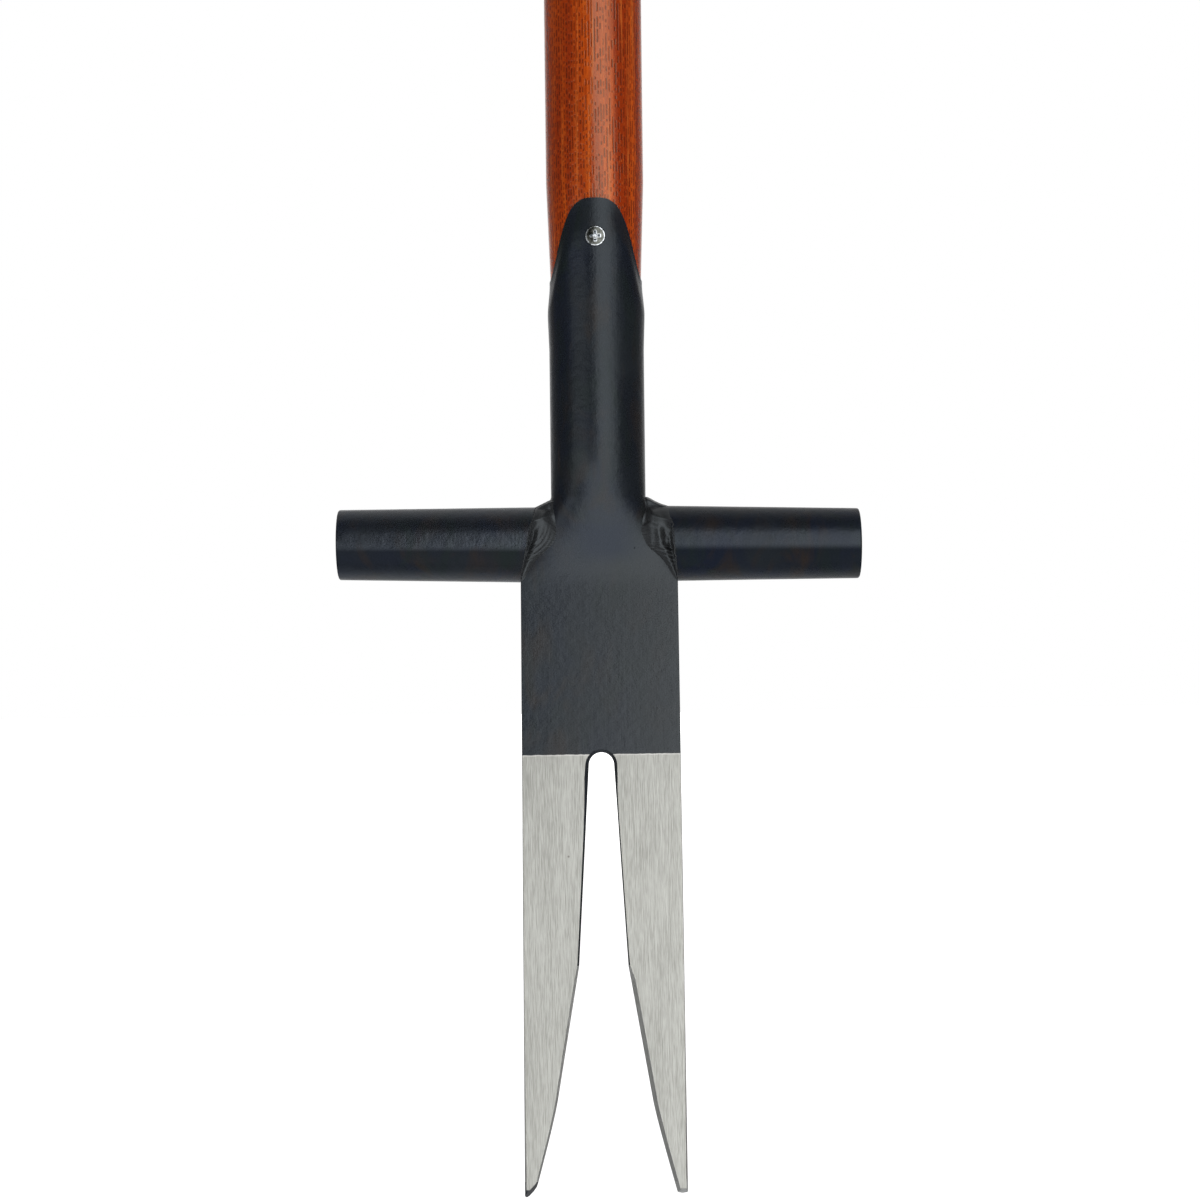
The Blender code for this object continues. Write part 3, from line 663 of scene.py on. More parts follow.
# Half of the notch from its top, down the right tine's inner edge and round its tip, as (x, z)
def notchHalf():
    throat = Vector((0, headSizes["tineLength"] - notchSizes["throatRadius"]))
    kink, bend, curve = (Vector(notchSizes[name]) for name in ("kink", "bend", "curve"))
    tipRadius, corner = notchSizes["tipRadius"], notchSizes["tipCornerAngle"]
    tip = Vector((headSizes["tipWidth"] / 2 - tipRadius * math.cos(corner), tipRadius))
    points = arcPoints(throat, notchSizes["throatRadius"], math.pi / 2,
                       touchBearing(throat, notchSizes["throatRadius"], kink), 26)
    last = points[-1]
    points += [last.lerp(kink, i / 16) for i in range(1, 17)]
    points += [kink + (bend - kink).normalized() * notchSizes["chamferChange"]]
    points += [points[-1].lerp(bend, i / 6) for i in range(1, 7)]
    tipSide = arcPoints(tip, tipRadius, touchBearing(tip, tipRadius, curve), 2 * math.pi - corner, 22)
    for i in range(1, 16):
        t = i / 16
        points.append(bend * (1 - t) ** 2 + curve * 2 * t * (1 - t) + tipSide[0] * t * t)
    return points + tipSide


def notchCutter():
    right = notchHalf()
    beyond = headSizes["tipWidth"] / 2 + notchSizes["beyond"]
    right += [Vector((beyond, right[-1].y)), Vector((beyond, -notchSizes["beyond"]))]
    outline = right + [Vector((-point.x, point.y)) for point in reversed(right[1:])]
    lead, outside = notchSizes["lead"], headSizes["thickness"]
    rings = [[] for _ in range(6)]
    for i, point in enumerate(outline):
        tangent = (outline[(i + 1) % len(outline)] - point).normalized() + (point - outline[i - 1]).normalized()
        outwards = Vector((-tangent.y, tangent.x)).normalized()
        chamfer = fromTable(notchSizes["leftChamfer" if point.x < 0 else "rightChamfer"], point.y)
        face = headHalfDepth(max(0.0, point.y))
        wide = point + outwards * (chamfer + lead)
        stations = [(-outside, wide), (-face - lead, wide), (chamfer - face, point),
                    (face - chamfer, point), (face + lead, wide), (outside, wide)]
        for ring, (y, place) in zip(rings, stations):
            ring.append(Vector((place.x, y, place.y)))
    return addPiece("notch cutter", loft("notch cutter", rings))


# The blunt ends: a flat ground slantwise across each tip, (x, z) of its top edge and how it leans
tipSizes = {
    "left": ((-0.0340, 0.0024), (-0.0300, 0.0066)),
    "right": ((0.0290, 0.0033), (0.0350, 0.0035)),
    "lean": math.radians(62), "reach": 0.012,
}


def tipCutter(name):
    (startX, startZ), (endX, endZ) = tipSizes[name]
    along = Vector((endX - startX, 0, endZ - startZ)).normalized()
    down = Vector((along.z, 0, -along.x))
    normal = Vector((0, -math.cos(tipSizes["lean"]), 0)) + down * math.sin(tipSizes["lean"])
    into = normal.cross(along)
    middle = Vector(((startX + endX) / 2, -headHalfDepth(startZ), (startZ + endZ) / 2))
    reach = tipSizes["reach"]
    rings = [[middle + along * reach * a + into * reach * b + normal * height
              for a, b in ((-1, -1), (1, -1), (1, 1), (-1, 1))] for height in (0.0, reach)]
    return addPiece("tip cutter", loft("tip cutter", rings))


screwSizes = {
    "drop": 0.0160, "headDiameter": 0.0080, "headDepth": 0.0021, "dome": 0.0005, "rim": 0.0003,
    "shankDiameter": 0.0034, "plainLength": 0.0025, "threadDiameter": 0.0040, "coreDiameter": 0.0027,
    "length": 0.0180, "point": 0.0030, "holeAbove": 0.0100, "holeDepth": 0.0060,
    "recessWidth": 0.0046, "recessSlot": 0.0011, "recessDepth": 0.0016,
    "recessTaper": 0.45, "around": 56,
}
screwHeight = headSizes["tongueHeight"] - screwSizes["drop"]


def screwHole(side):
    head = screwSizes["headDiameter"] / 2 + seatGap
    thread = screwSizes["threadDiameter"] / 2 + seatGap
    profile = [(-screwSizes["holeAbove"], head), (screwSizes["rim"] + seatGap, head),
               (screwSizes["headDepth"] + seatGap, thread), (screwSizes["holeDepth"], thread)]
    origin = (0, side * socketRadius(screwHeight), screwHeight)
    return turnedPiece("screw hole", profile, (0, -side, 0), (1, 0, 0), screwSizes["around"], origin)


def makeHead(material):
    head = addPiece("forkedHead", headBody())
    cutters = [notchCutter(), tipCutter("left"), tipCutter("right"), screwHole(-1), screwHole(1)]
    carve(head, cutters, material, sharpAngle=30)
    put(head, "forked_head")


makeHead(headSteel())
print("forked head made")

# Foot treads: tapered open tubes, each swept round its axis by a node tree
treadSizes = {
    "axisHeight": 0.2761, "span": 0.2194, "rootDiameter": 0.0317, "endDiameter": 0.0296,
    "wall": 0.0028, "edgeRound": 0.0009, "lean": math.radians(0.6), "around": 160, "seam": 0.000005,
    # where each tube's cut end stops inside its weld, and how it slants
    "rootCuts": {-1: 0.0298, 1: 0.0310}, "rootSlopes": {-1: 0.208, 1: 0.120},
}
treadLooks = {
    "seeds": {-1: 3.1, 1: 7.7}, "iors": {-1: 1.64, 1: 1.42},
    "dullBelow": 0.91, "reflection": (0.76, 0.86, 1.0, 1),
}
treadRoot = headHalfWidth(treadSizes["axisHeight"])


# Points of a tread's wall as (distance from the middle, radius): out along the outside, over the lip, back inside
def treadProfile(start):
    root, end = treadSizes["rootDiameter"] / 2, treadSizes["endDiameter"] / 2
    half, lip, wall = treadSizes["span"] / 2, treadSizes["edgeRound"], treadSizes["wall"]
    points = [(mix(start, half - lip, i / 20), mix(root, end, i / 20)) for i in range(20)]
    points += [(half - lip + lip * math.sin(a), end - lip + lip * math.cos(a))
               for a in (math.pi / 2 * i / 8 for i in range(9))]
    inner = lip / 2
    points += [(half - inner + inner * math.cos(a), end - wall + inner - inner * math.sin(a))
               for a in (math.pi / 2 * i / 5 for i in range(6))]
    points += [(mix(half - inner, start, i / 6), mix(end, root, i / 6) - wall) for i in range(1, 7)]
    return points


# Turns a profile round the X axis. The rings shear so that the inner end slants with the shoulder
def treadTree(material):
    tree = bpy.data.node_groups.new("tread tube", "GeometryNodeTree")
    face = tree.interface
    face.new_socket("Geometry", in_out="INPUT", socket_type="NodeSocketGeometry")
    sockets = {}
    for name, kind, value in (("Side", "Float", 1.0), ("Axis Height", "Float", treadSizes["axisHeight"]),
                              ("Root", "Float", treadRoot), ("Half Span", "Float", treadSizes["span"] / 2),
                              ("Lean", "Float", math.tan(treadSizes["lean"])), ("Root Slope", "Float", 0.2),
                              ("Around", "Int", treadSizes["around"])):
        socket = face.new_socket(name, in_out="INPUT", socket_type=f"NodeSocket{kind}")
        socket.default_value = value
        sockets[name] = socket.identifier
    face.new_socket("Geometry", in_out="OUTPUT", socket_type="NodeSocketGeometry")
    given = addNode(tree, "NodeGroupInput").outputs
    curve = addNode(tree, "GeometryNodeMeshToCurve")
    feed(tree, curve.inputs["Mesh"], given["Geometry"])
    inRow = plus(tree, given["Around"], 1.0)
    grid = addNode(tree, "GeometryNodeMeshGrid")
    feed(tree, grid.inputs["Vertices X"], len(treadProfile(treadRoot)))
    feed(tree, grid.inputs["Vertices Y"], inRow)
    index = addNode(tree, "GeometryNodeInputIndex").outputs[0]
    row = calc(tree, "FLOOR", calc(tree, "DIVIDE", index, inRow))
    column = minus(tree, index, times(tree, row, inRow))
    sample = addNode(tree, "GeometryNodeSampleIndex", data_type="FLOAT_VECTOR", domain="POINT")
    feed(tree, sample.inputs["Geometry"], curve.outputs["Curve"])
    feed(tree, sample.inputs["Value"], addNode(tree, "GeometryNodeInputPosition").outputs[0])
    feed(tree, sample.inputs["Index"], row)
    distance, radius, _ = separate(tree, sample.outputs["Value"])
    angle = times(tree, calc(tree, "DIVIDE", column, given["Around"]), 2 * math.pi)
    cosine, sine = calc(tree, "COSINE", angle), calc(tree, "SINE", angle)
    toEnd = calc(tree, "DIVIDE", minus(tree, given["Half Span"], distance),
                 minus(tree, given["Half Span"], given["Root"]), clamp=True)
    shear = times(tree, times(tree, given["Root Slope"], radius), cosine)
    x = minus(tree, distance, times(tree, shear, toEnd))
    drop = times(tree, minus(tree, x, given["Root"]), given["Lean"])
    height = plus(tree, given["Axis Height"], times(tree, radius, cosine))
    height = minus(tree, height, times(tree, drop, given["Side"]))
    place = addNode(tree, "ShaderNodeCombineXYZ")
    for socket, value in zip(place.inputs, (times(tree, x, given["Side"]), times(tree, radius, sine), height)):
        feed(tree, socket, value)
    moved = addNode(tree, "GeometryNodeSetPosition")
    feed(tree, moved.inputs["Geometry"], grid.outputs["Mesh"])
    feed(tree, moved.inputs["Position"], place.outputs[0])
    joined = addNode(tree, "GeometryNodeMergeByDistance")
    feed(tree, joined.inputs["Geometry"], moved.outputs[0])
    feed(tree, joined.inputs["Distance"], treadSizes["seam"])
    real = addNode(tree, "GeometryNodeRealizeInstances")
    feed(tree, real.inputs[0], joined.outputs[0])
    painted = addNode(tree, "GeometryNodeSetMaterial")
    painted.inputs["Material"].default_value = material
    feed(tree, painted.inputs["Geometry"], real.outputs[0])
    feed(tree, addNode(tree, "NodeGroupOutput").inputs[0], painted.outputs[0])
    return tree, sockets


# Runs a node tree on a piece, keeps the result as a plain mesh and closes its open end
def growByNodes(piece, tree, settings):
    modifier = piece.modifiers.new("nodes", "NODES")
    modifier.node_group = tree
    for identifier, value in settings.items():
        modifier[identifier] = value
    bakeModifiers(piece)
    shape = bmesh.new()
    shape.from_mesh(piece.data)
    rims = [edge for edge in shape.edges if edge.is_boundary]
    if rims:
        bmesh.ops.bridge_loops(shape, edges=rims)
    bmesh.ops.recalc_face_normals(shape, faces=shape.faces)
    shape.to_mesh(piece.data)
    shape.free()
    shadeByAngle(piece.data)


def makeTread(side, material):
    name = "left" if side < 0 else "right"
    points = treadProfile(treadSizes["rootCuts"][side])
    profile = bpy.data.meshes.new(f"{name}FootTread")
    profile.from_pydata([(x, radius, 0) for x, radius in points], [(i, i + 1) for i in range(len(points) - 1)], [])
    tread = addPiece(f"{name}FootTread", profile)
    tree, sockets = treadTree(material)
    growByNodes(tread, tree, {sockets["Side"]: float(side), sockets["Root Slope"]: treadSizes["rootSlopes"][side]})
    put(tread, f"{name}_foot_tread")


for side in (-1, 1):
    coating = coatedSteel("tread coating", treadLooks["seeds"][side], dullBelow=treadLooks["dullBelow"],
                          ior=treadLooks["iors"][side], reflection=treadLooks["reflection"])
    makeTread(side, coating)
print("foot treads made")

# Weld beads: a fillet over each tread's root, and round its sides a ragged lip where the tube was cut, with a
# rippled floor inside it that runs level into the neck and the blade
weldSizes = {
    "treadEndLeg": 0.0006, "neckLeg": 0.0083,
    "reach": math.radians(168), "slices": 280, "stepsPerSpan": 18,
    "filletTurn": math.radians(42), "lipTurn": math.radians(62),
    "cliff": 0.0010, "lip": 0.0003, "floor": 0.0006, "dish": 0.0007,
    "raggedness": 0.0007, "lumps": 0.0003, "rippleHeight": 0.00025, "ripplePitch": 0.0016,
    "topRipple": 0.15, "paintedLight": 0.8,
    "thinnestLeg": 0.0004, "neckOverlap": 0.0030, "filletStops": (0.75, 0.4), "ragTurns": (9, 31),
    "dishEnd": math.radians(125), "dishFade": math.radians(22), "lumpScale": 420,
    # ripples stay low within the calm radius of their middle; under the low line they also cross the ridges
    "calmRadius": 0.0095, "calmFade": 0.0030, "lowLine": 0.2765, "lowFade": 0.0040, "ridgeFade": 0.0030,
    # arcs of ripples on one weld's front, (x, z) of their middle; upright ridges on the other's, as
    # (x, half width, lower end, upper end, height)
    "arcs": (-0.0335, 0.2850), "backArcs": (0.0315, 0.2875), "finePitch": 0.00085,
    "ridges": ((0.0215, 0.0011, 0.264, 0.289, 0.0009), (0.0252, 0.0010, 0.273, 0.286, 0.0008),
               (0.0191, 0.0008, 0.270, 0.288, -0.0006), (0.0278, 0.0009, 0.274, 0.284, -0.0007)),
}
weldSides = {
    -1: {"treadLeg": 0.0058, "legPower": 1.0, "rise": 0.0056, "crown": -0.0008, "seed": 11.3},
    1: {"treadLeg": 0.0094, "legPower": 1.15, "rise": 0.0076, "crown": -0.0020, "seed": 15.9},
}


# Steps in from a tread's outside to the first distance from its axis at which isInside(height, depth) holds
def distanceTo(isInside, angle, start, end, steps=240):
    for i in range(steps):
        distance = mix(start, end, i / steps)
        if isInside(treadSizes["axisHeight"] + distance * math.cos(angle), distance * abs(math.sin(angle))):
            return distance
    return end


def neckDistance(x, angle):
    outside = treadSizes["rootDiameter"] / 2
    return distanceTo(lambda height, depth: x < headHalfWidth(height) and depth < neckFaceDepth(x, height),
                      angle, outside + weldSides[1]["rise"], outside / 4)


# The same for the plane of the neck's face
def faceDistance(angle):
    outside = treadSizes["rootDiameter"] / 2
    return distanceTo(lambda height, depth: depth < headHalfDepth(height), angle, outside, outside / 6)


def catmull(points, steps):
    ends = [2 * points[0] - points[1], *points, 2 * points[-1] - points[-2]]
    path = []
    for a, b, c, d in zip(ends, ends[1:], ends[2:], ends[3:]):
        for i in range(steps):
            t = i / steps
            path.append(0.5 * (2 * b + (c - a) * t + (2 * a - 5 * b + 4 * c - d) * t * t
                               + (3 * b - a - 3 * c + d) * t ** 3))
    return path + [points[-1]]


# Smooth noise that is the same on each run
def noiseAt(x, y, z):
    return noise.noise(Vector((x, y, z)))


# One flat slice of a bead in the half plane at an angle round the tread, 0 on top, as (x, distance) points
def weldSlice(side, angle):
    sizes, own, sink = weldSizes, weldSides[side], 2 * seatGap
    upright = math.cos(angle)
    outside = treadSizes["rootDiameter"] / 2
    inside = outside - treadSizes["wall"]
    joint = headHalfWidth(treadSizes["axisHeight"] + outside * upright)
    share = abs(angle) / sizes["reach"]
    fade = 1 - share ** 4
    coarse, fine = sizes["ragTurns"]
    rough = noiseAt(angle * coarse, side * 5, 1) + 0.6 * noiseAt(angle * fine, side * 5, 2)
    leg = mix(sizes["treadEndLeg"], own["treadLeg"], ((1 + upright) / 2) ** own["legPower"])
    leg = max(sizes["thinnestLeg"], leg + sizes["raggedness"] * rough * fade)
    rise = own["rise"] * max(0.0, upright) ** 2
    reachIn = sizes["neckLeg"] * math.sin(math.pi * share ** 1.5) ** 0.6
    reachIn *= 1 + 0.07 * noiseAt(angle * 14, side * 5, 3)
    topX = headHalfWidth(treadSizes["axisHeight"] + (outside + rise) * upright)
    face = faceDistance(angle)
    edgeX = headHalfWidth(treadSizes["axisHeight"] + face * upright)
    toeX = min(joint - reachIn, topX, edgeX - sizes["neckOverlap"] * math.sqrt(fade)) - sink
    toe = min(outside + rise, neckDistance(toeX, angle)) - sink
    start = Vector((joint + leg, outside - sink))
    end = Vector((toeX, toe))

    # The fillet over the top
    crown = seatGap + own["crown"] * fade
    fillet = [start]
    for x in (*(joint + leg * stop for stop in sizes["filletStops"]), joint - sink):
        straight = mix(outside, end.y, (start.x - x) / (start.x - end.x))
        fillet.append(Vector((x, max(straight + crown, outside + 0.0002))))
    fillet += [(fillet[-1] + end) / 2 + Vector((0, crown)), end]
    foot = min(inside, neckDistance(joint - sink, angle) - sink)
    filletUnder = [end + Vector((-sink, -sink)), Vector((joint - sink, foot)), Vector((joint, inside)),
                   Vector((joint + sink, inside))]

    # The lip, the drop behind it, a hollow, then the bead along the neck's edge
    hollow = sizes["dish"] * eased((sizes["dishEnd"] - abs(angle)) / sizes["dishFade"])
    level = min(outside - sink, face + 0.0002 - hollow)
    drop = max(start.x - sizes["cliff"] * mix(0.3, 1.0, fade), edgeX + 0.0003)
    lipTop = outside + sizes["lip"] * (1 + rough) * fade
    lip = [start, Vector((start.x - 0.0003, lipTop)), Vector((drop, mix(level, lipTop, 0.9))),
           Vector((drop - 0.0004, level)), Vector((edgeX - 0.0012 * fade, face + sizes["floor"] * fade)), end]
    lipUnder = [end + Vector((-sink, -sink)), Vector((drop - 0.0004, level - 0.001)),
                Vector((start.x - 0.0004, level - 0.001)), Vector((start.x - 0.0003, max(inside, level - 0.0005)))]
    lipShare = eased((abs(angle) - sizes["filletTurn"]) / (sizes["lipTurn"] - sizes["filletTurn"]))
    bead = [a.lerp(b, lipShare) for a, b in zip(fillet, lip)]
    path = catmull(bead, sizes["stepsPerSpan"])
    count = len(path) - 1
    for i, point in enumerate(path):
        t = i / count
        belly = math.sin(math.pi * t) ** 0.7
        height = treadSizes["axisHeight"] + point.y * upright
        lumps = noiseAt(point.x * sizes["lumpScale"], height * sizes["lumpScale"],
                        side * 3 + math.copysign(9, angle))
        ripple = weldRipple(side, angle, side * point.x, height) + sizes["lumps"] * lumps
        point.y += belly * fade * mix(sizes["topRipple"], 1.0, lipShare) * ripple
    return path + [a.lerp(b, lipShare) for a, b in zip(filletUnder, lipUnder)]


# Height of the ripples at a place on a bead
def weldRipple(side, angle, x, z):
    sizes = weldSizes
    if side > 0 and angle < 0:
        height = 0.0
        for centre, half, low, high, tall in sizes["ridges"]:
            within = eased((z - low) / sizes["ridgeFade"]) * eased((high - z) / sizes["ridgeFade"])
            height += tall * within * math.exp(-((x - centre) / half) ** 2)
        height *= 0.75 + 0.5 * noiseAt(3, x * 300, z * 520)
        low = eased((sizes["lowLine"] - z) / sizes["lowFade"])
        return height + sizes["rippleHeight"] * low * math.sin(2 * math.pi * (z + 0.3 * x) / sizes["ripplePitch"])
    middleX, middleZ = sizes["arcs"]
    if angle > 0:
        middleX, middleZ = side * sizes["backArcs"][0], sizes["backArcs"][1]
    around = math.hypot(x - middleX, z - middleZ) + 0.0003 * noiseAt(x * 300, z * 300, 5)
    ridge = abs(math.sin(math.pi * around / sizes["ripplePitch"]))
    fine = math.sin(2 * math.pi * around / sizes["finePitch"])
    strong = eased((around - sizes["calmRadius"]) / sizes["calmFade"])
    return sizes["rippleHeight"] * (strong * (2 * ridge - 1) + 0.25 * fine)


def treadPoint(side, x, distance, angle):
    drop = side * (x - treadRoot) * math.tan(treadSizes["lean"])
    height = treadSizes["axisHeight"] - drop + distance * math.cos(angle)
    return Vector((side * x, distance * math.sin(angle), height))


def makeWeld(side, material):
    name = "left" if side < 0 else "right"
    reach, slices = weldSizes["reach"], weldSizes["slices"]
    angles = [reach * (2 * i / slices - 1) for i in range(slices + 1)]
    wallMiddle = (treadSizes["rootDiameter"] - treadSizes["wall"]) / 2
    endX = headHalfWidth(treadSizes["axisHeight"] + wallMiddle * math.cos(reach)) + 2 * seatGap
    rings = [[treadPoint(side, point.x, point.y, angle) for point in weldSlice(side, angle)]
             for angle in angles[1:-1]]
    ends = [[treadPoint(side, endX, wallMiddle, angle)] for angle in (angles[0], angles[-1])]
    rings = [ends[0], *rings, ends[1]]
    weld = addPiece(f"{name}TreadWeld", loft("weld", rings, sharpAngle=60), material)
    put(weld, f"{name}_tread_weld")


# Painted light: each weld's coating is paled by its painted-light share to lift its shade
for side, own in weldSides.items():
    makeWeld(side, coatedSteel("weld coating", own["seed"], paintedLight=weldSizes["paintedLight"]))
print("welds made")


def saddleRing(radius, heightAt, count):
    ring = []
    for i in range(count):
        turn = 2 * math.pi * (i + 0.5) / count
        x, y = radius * math.cos(turn), radius * math.sin(turn)
        ring.append(Vector((x, y, gripAxis + heightAt(x, y))))
    return ring


def gripRadius(x):
    barrel = mix(gripSizes["diameter"], gripSizes["endDiameter"], (2 * x / gripSizes["length"]) ** 2) / 2
    intoRound = max(0.0, abs(x) - (gripSizes["length"] / 2 - gripSizes["endRound"]))
    return barrel - gripSizes["endRound"] * (1 - math.sqrt(max(0.0, 1 - (intoRound / gripSizes["endRound"]) ** 2)))


def gripCrest(x, y, offset):
    return math.sqrt(max(0.0, (gripRadius(x) + offset) ** 2 - y ** 2))


# The wedge, its kerf and the pin through grip and tenon
wedgeSizes = {
    "width": 0.0215, "depth": 0.0160, "top": 0.0032, "tip": 0.0012, "kerfExtra": 0.0010, "kerfAbove": 0.0100,
    "pinDiameter": 0.0040, "pinDrop": 0.0030, "pinRecess": 0.0003, "pinChamfer": 0.0004,
    "pinAround": 48,
}
wedgeTip = shaftSizes["toolHeight"] - wedgeSizes["depth"]
pinHeight = gripAxis - wedgeSizes["pinDrop"]


def wedgeHalf(height):
    return mix(wedgeSizes["tip"], wedgeSizes["top"], (height - wedgeTip) / wedgeSizes["depth"]) / 2


def wedgeRings(halfWidth, bottom, grow, topAt, steps=24):
    rings = []
    for i in range(steps + 1):
        y = halfWidth * (2 * i / steps - 1)
        top = topAt(y)
        low, high = wedgeHalf(bottom) + grow, wedgeHalf(top) + grow
        rings.append([Vector((x, y, z)) for x, z in ((-low, bottom), (low, bottom), (high, top), (-high, top))])
    return rings


def pinHole():
    radius = wedgeSizes["pinDiameter"] / 2 + seatGap
    profile = [(-gripSizes["holeReach"], radius), (gripSizes["holeReach"], radius)]
    return turnedPiece("pin hole", profile, (0, 1, 0), (1, 0, 0), wedgeSizes["pinAround"], (0, 0, pinHeight))


def makeShaft(material):
    sizes, foot, around = shaftSizes, headSizes["socketFloor"], shaftSizes["around"]
    profile = [(foot, shaftRadius(foot) - sizes["footChamfer"]),
               (foot + sizes["footChamfer"], shaftRadius(foot + sizes["footChamfer"]))]
    for low, high, steps in ((foot + 0.01, sizes["taperTop"], 8), (sizes["slimStart"], gripAxis - 0.04, 16)):
        heights = [mix(low, high, i / steps) for i in range(steps + 1)]
        profile += [(height, shaftRadius(height)) for height in heights]
    rings = turned(profile, (0, 0, 1), (1, 0, 0), around)
    neck = shaftRadius(gripAxis - gripSizes["diameter"] / 2)
    for i in range(9):
        radius = mix(neck, sizes["tenonDiameter"] / 2, i / 8)
        rings.append(saddleRing(radius, lambda x, y: -gripCrest(x, y, seatGap), around))
    for share in (1.0, 0.85, 0.7, 0.55, 0.4, 0.2):
        rings.append(saddleRing(sizes["tenonDiameter"] / 2 * share,
                                lambda x, y: gripCrest(x, y, -sizes["tenonRecess"]), around))
    rings.append([Vector((0, 0, sizes["toolHeight"] - sizes["tenonRecess"]))])
    shaft = addPiece("ashShaft", loft("ash shaft", rings))
    kerfRings = wedgeRings(sizes["tenonDiameter"], wedgeTip - wedgeSizes["kerfExtra"], seatGap,
                           lambda y: sizes["toolHeight"] + wedgeSizes["kerfAbove"])
    kerf = addPiece("kerf", loft("kerf", kerfRings))
    carve(shaft, [kerf, pinHole()], material)
    put(shaft, "ash_shaft")


def makeGrip(material):
    body = gripSizes["length"] / 2 - gripSizes["endRound"]
    stations = [body * i / 16 for i in range(16)]
    stations += [body + gripSizes["endRound"] * math.sin(math.pi / 2 * i / 14) for i in range(15)]
    stations = [-x for x in reversed(stations[1:])] + stations
    profile = [(x, gripRadius(x)) for x in stations]
    grip = turnedPiece("tGrip", profile, (1, 0, 0), (0, 0, 1), gripSizes["around"], (0, 0, gripAxis))
    radius = shaftSizes["tenonDiameter"] / 2 + seatGap
    profile = [(-gripSizes["holeReach"], radius), (gripSizes["holeReach"], radius)]
    mortise = turnedPiece("mortise", profile, (0, 0, 1), (1, 0, 0), gripSizes["mortiseAround"], (0, 0, gripAxis))
    carve(grip, [mortise, pinHole()], material)
    put(grip, "t_grip")


def makeWedge(material):
    rings = wedgeRings(wedgeSizes["width"] / 2, wedgeTip, 0.0,
                       lambda y: gripAxis + gripCrest(0, y, -shaftSizes["tenonRecess"]))
    wedge = addPiece("gripWedge", loft("wedge", rings), material)
    put(wedge, "grip_wedge")


def makePin(material):
    halfLength = math.sqrt(gripRadius(0) ** 2 - wedgeSizes["pinDrop"] ** 2) - wedgeSizes["pinRecess"]
    radius, chamfer = wedgeSizes["pinDiameter"] / 2, wedgeSizes["pinChamfer"]
    profile = [(-halfLength - chamfer * 0.2, 0)]
    profile += [(-halfLength + chamfer * (1 - math.cos(a)), radius - chamfer * (1 - math.sin(a)))
                for a in (math.pi / 2 * i / 6 for i in range(7))]
    profile += [(-distance, size) for distance, size in reversed(profile)]
    rings = turned(profile, (0, 1, 0), (1, 0, 0), wedgeSizes["pinAround"], (0, 0, pinHeight))
    pin = addPiece("gripPin", loft("pin", rings), material)
    put(pin, "grip_pin")


makeShaft(stainedAsh("shaft ash", "Z", 4.0))
makeGrip(stainedAsh("grip ash", "X", 9.0, (0, 0, gripAxis)))
makeWedge(stainedAsh("wedge wood", "Z", 17.0, (0.01, 0.05, 0)))
makePin(brightMetal("pin steel", (0.62, 0.61, 0.58), 0.32, 2.0))
print("shaft and grip made")


def crossSlots(side):
    surface = side * socketRadius(screwHeight)
    made = []
    for alongX in (True, False):
        rings = []
        ends = ((-screwSizes["dome"] - seatGap, 1.0), (screwSizes["recessDepth"], screwSizes["recessTaper"]))
        for depth, share in ends:
            halfLong = screwSizes["recessWidth"] / 2 * share
            halfShort = screwSizes["recessSlot"] / 2 * mix(0.6, 1.0, share)
            halfX, halfZ = (halfLong, halfShort) if alongX else (halfShort, halfLong)
            corners = ((-halfX, -halfZ), (halfX, -halfZ), (halfX, halfZ), (-halfX, halfZ))
            rings.append([Vector((x, surface - side * depth, screwHeight + z)) for x, z in corners])
        made.append(addPiece("slot", loft("slot", rings)))
    return made


def makeScrew(side, material):
    name, sizes = "front" if side < 0 else "back", screwSizes
    head, shank, core = (sizes[part] / 2 for part in ("headDiameter", "shankDiameter", "coreDiameter"))
    shankEnd = sizes["headDepth"] + sizes["plainLength"]
    profile = [(-sizes["dome"], 0)]
    profile += [(-sizes["dome"] * (1 - (i / 10) ** 2), head * i / 10) for i in range(1, 11)]
    profile += [(sizes["rim"], head), (sizes["headDepth"], shank), (shankEnd, shank), (shankEnd + 0.0003, core)]
    profile += [(sizes["length"] - sizes["point"], core), (sizes["length"], 0)]
    origin = (0, side * socketRadius(screwHeight), screwHeight)
    screw = turnedPiece(f"{name}SocketScrew", profile, (0, -side, 0), (1, 0, 0), screwSizes["around"], origin)
    carve(screw, crossSlots(side), material)
    put(screw, f"{name}_socket_screw")


# Zinc plate with a dull face; its bright rim ring and the bright cross over the recess are painted highlights
screwLooks = {
    "seeds": {-1: 0.4, 1: 5.4},
    "bright": (0.74, 0.78, 0.82), "dulled": ((0.060, 0.064, 0.058), (0.150, 0.155, 0.140)),
    # where the painted highlight of the rim starts, and half the width and reach of the painted highlight cross
    "rim": (0.0035, 0.0038), "highlightCrossWidth": (0.0008, 0.0006), "highlightCrossReach": (0.0026, 0.0022),
    "dullScale": 900, "grainScale": 1800, "roughness": (0.16, 0.34), "bump": 0.00004,
}


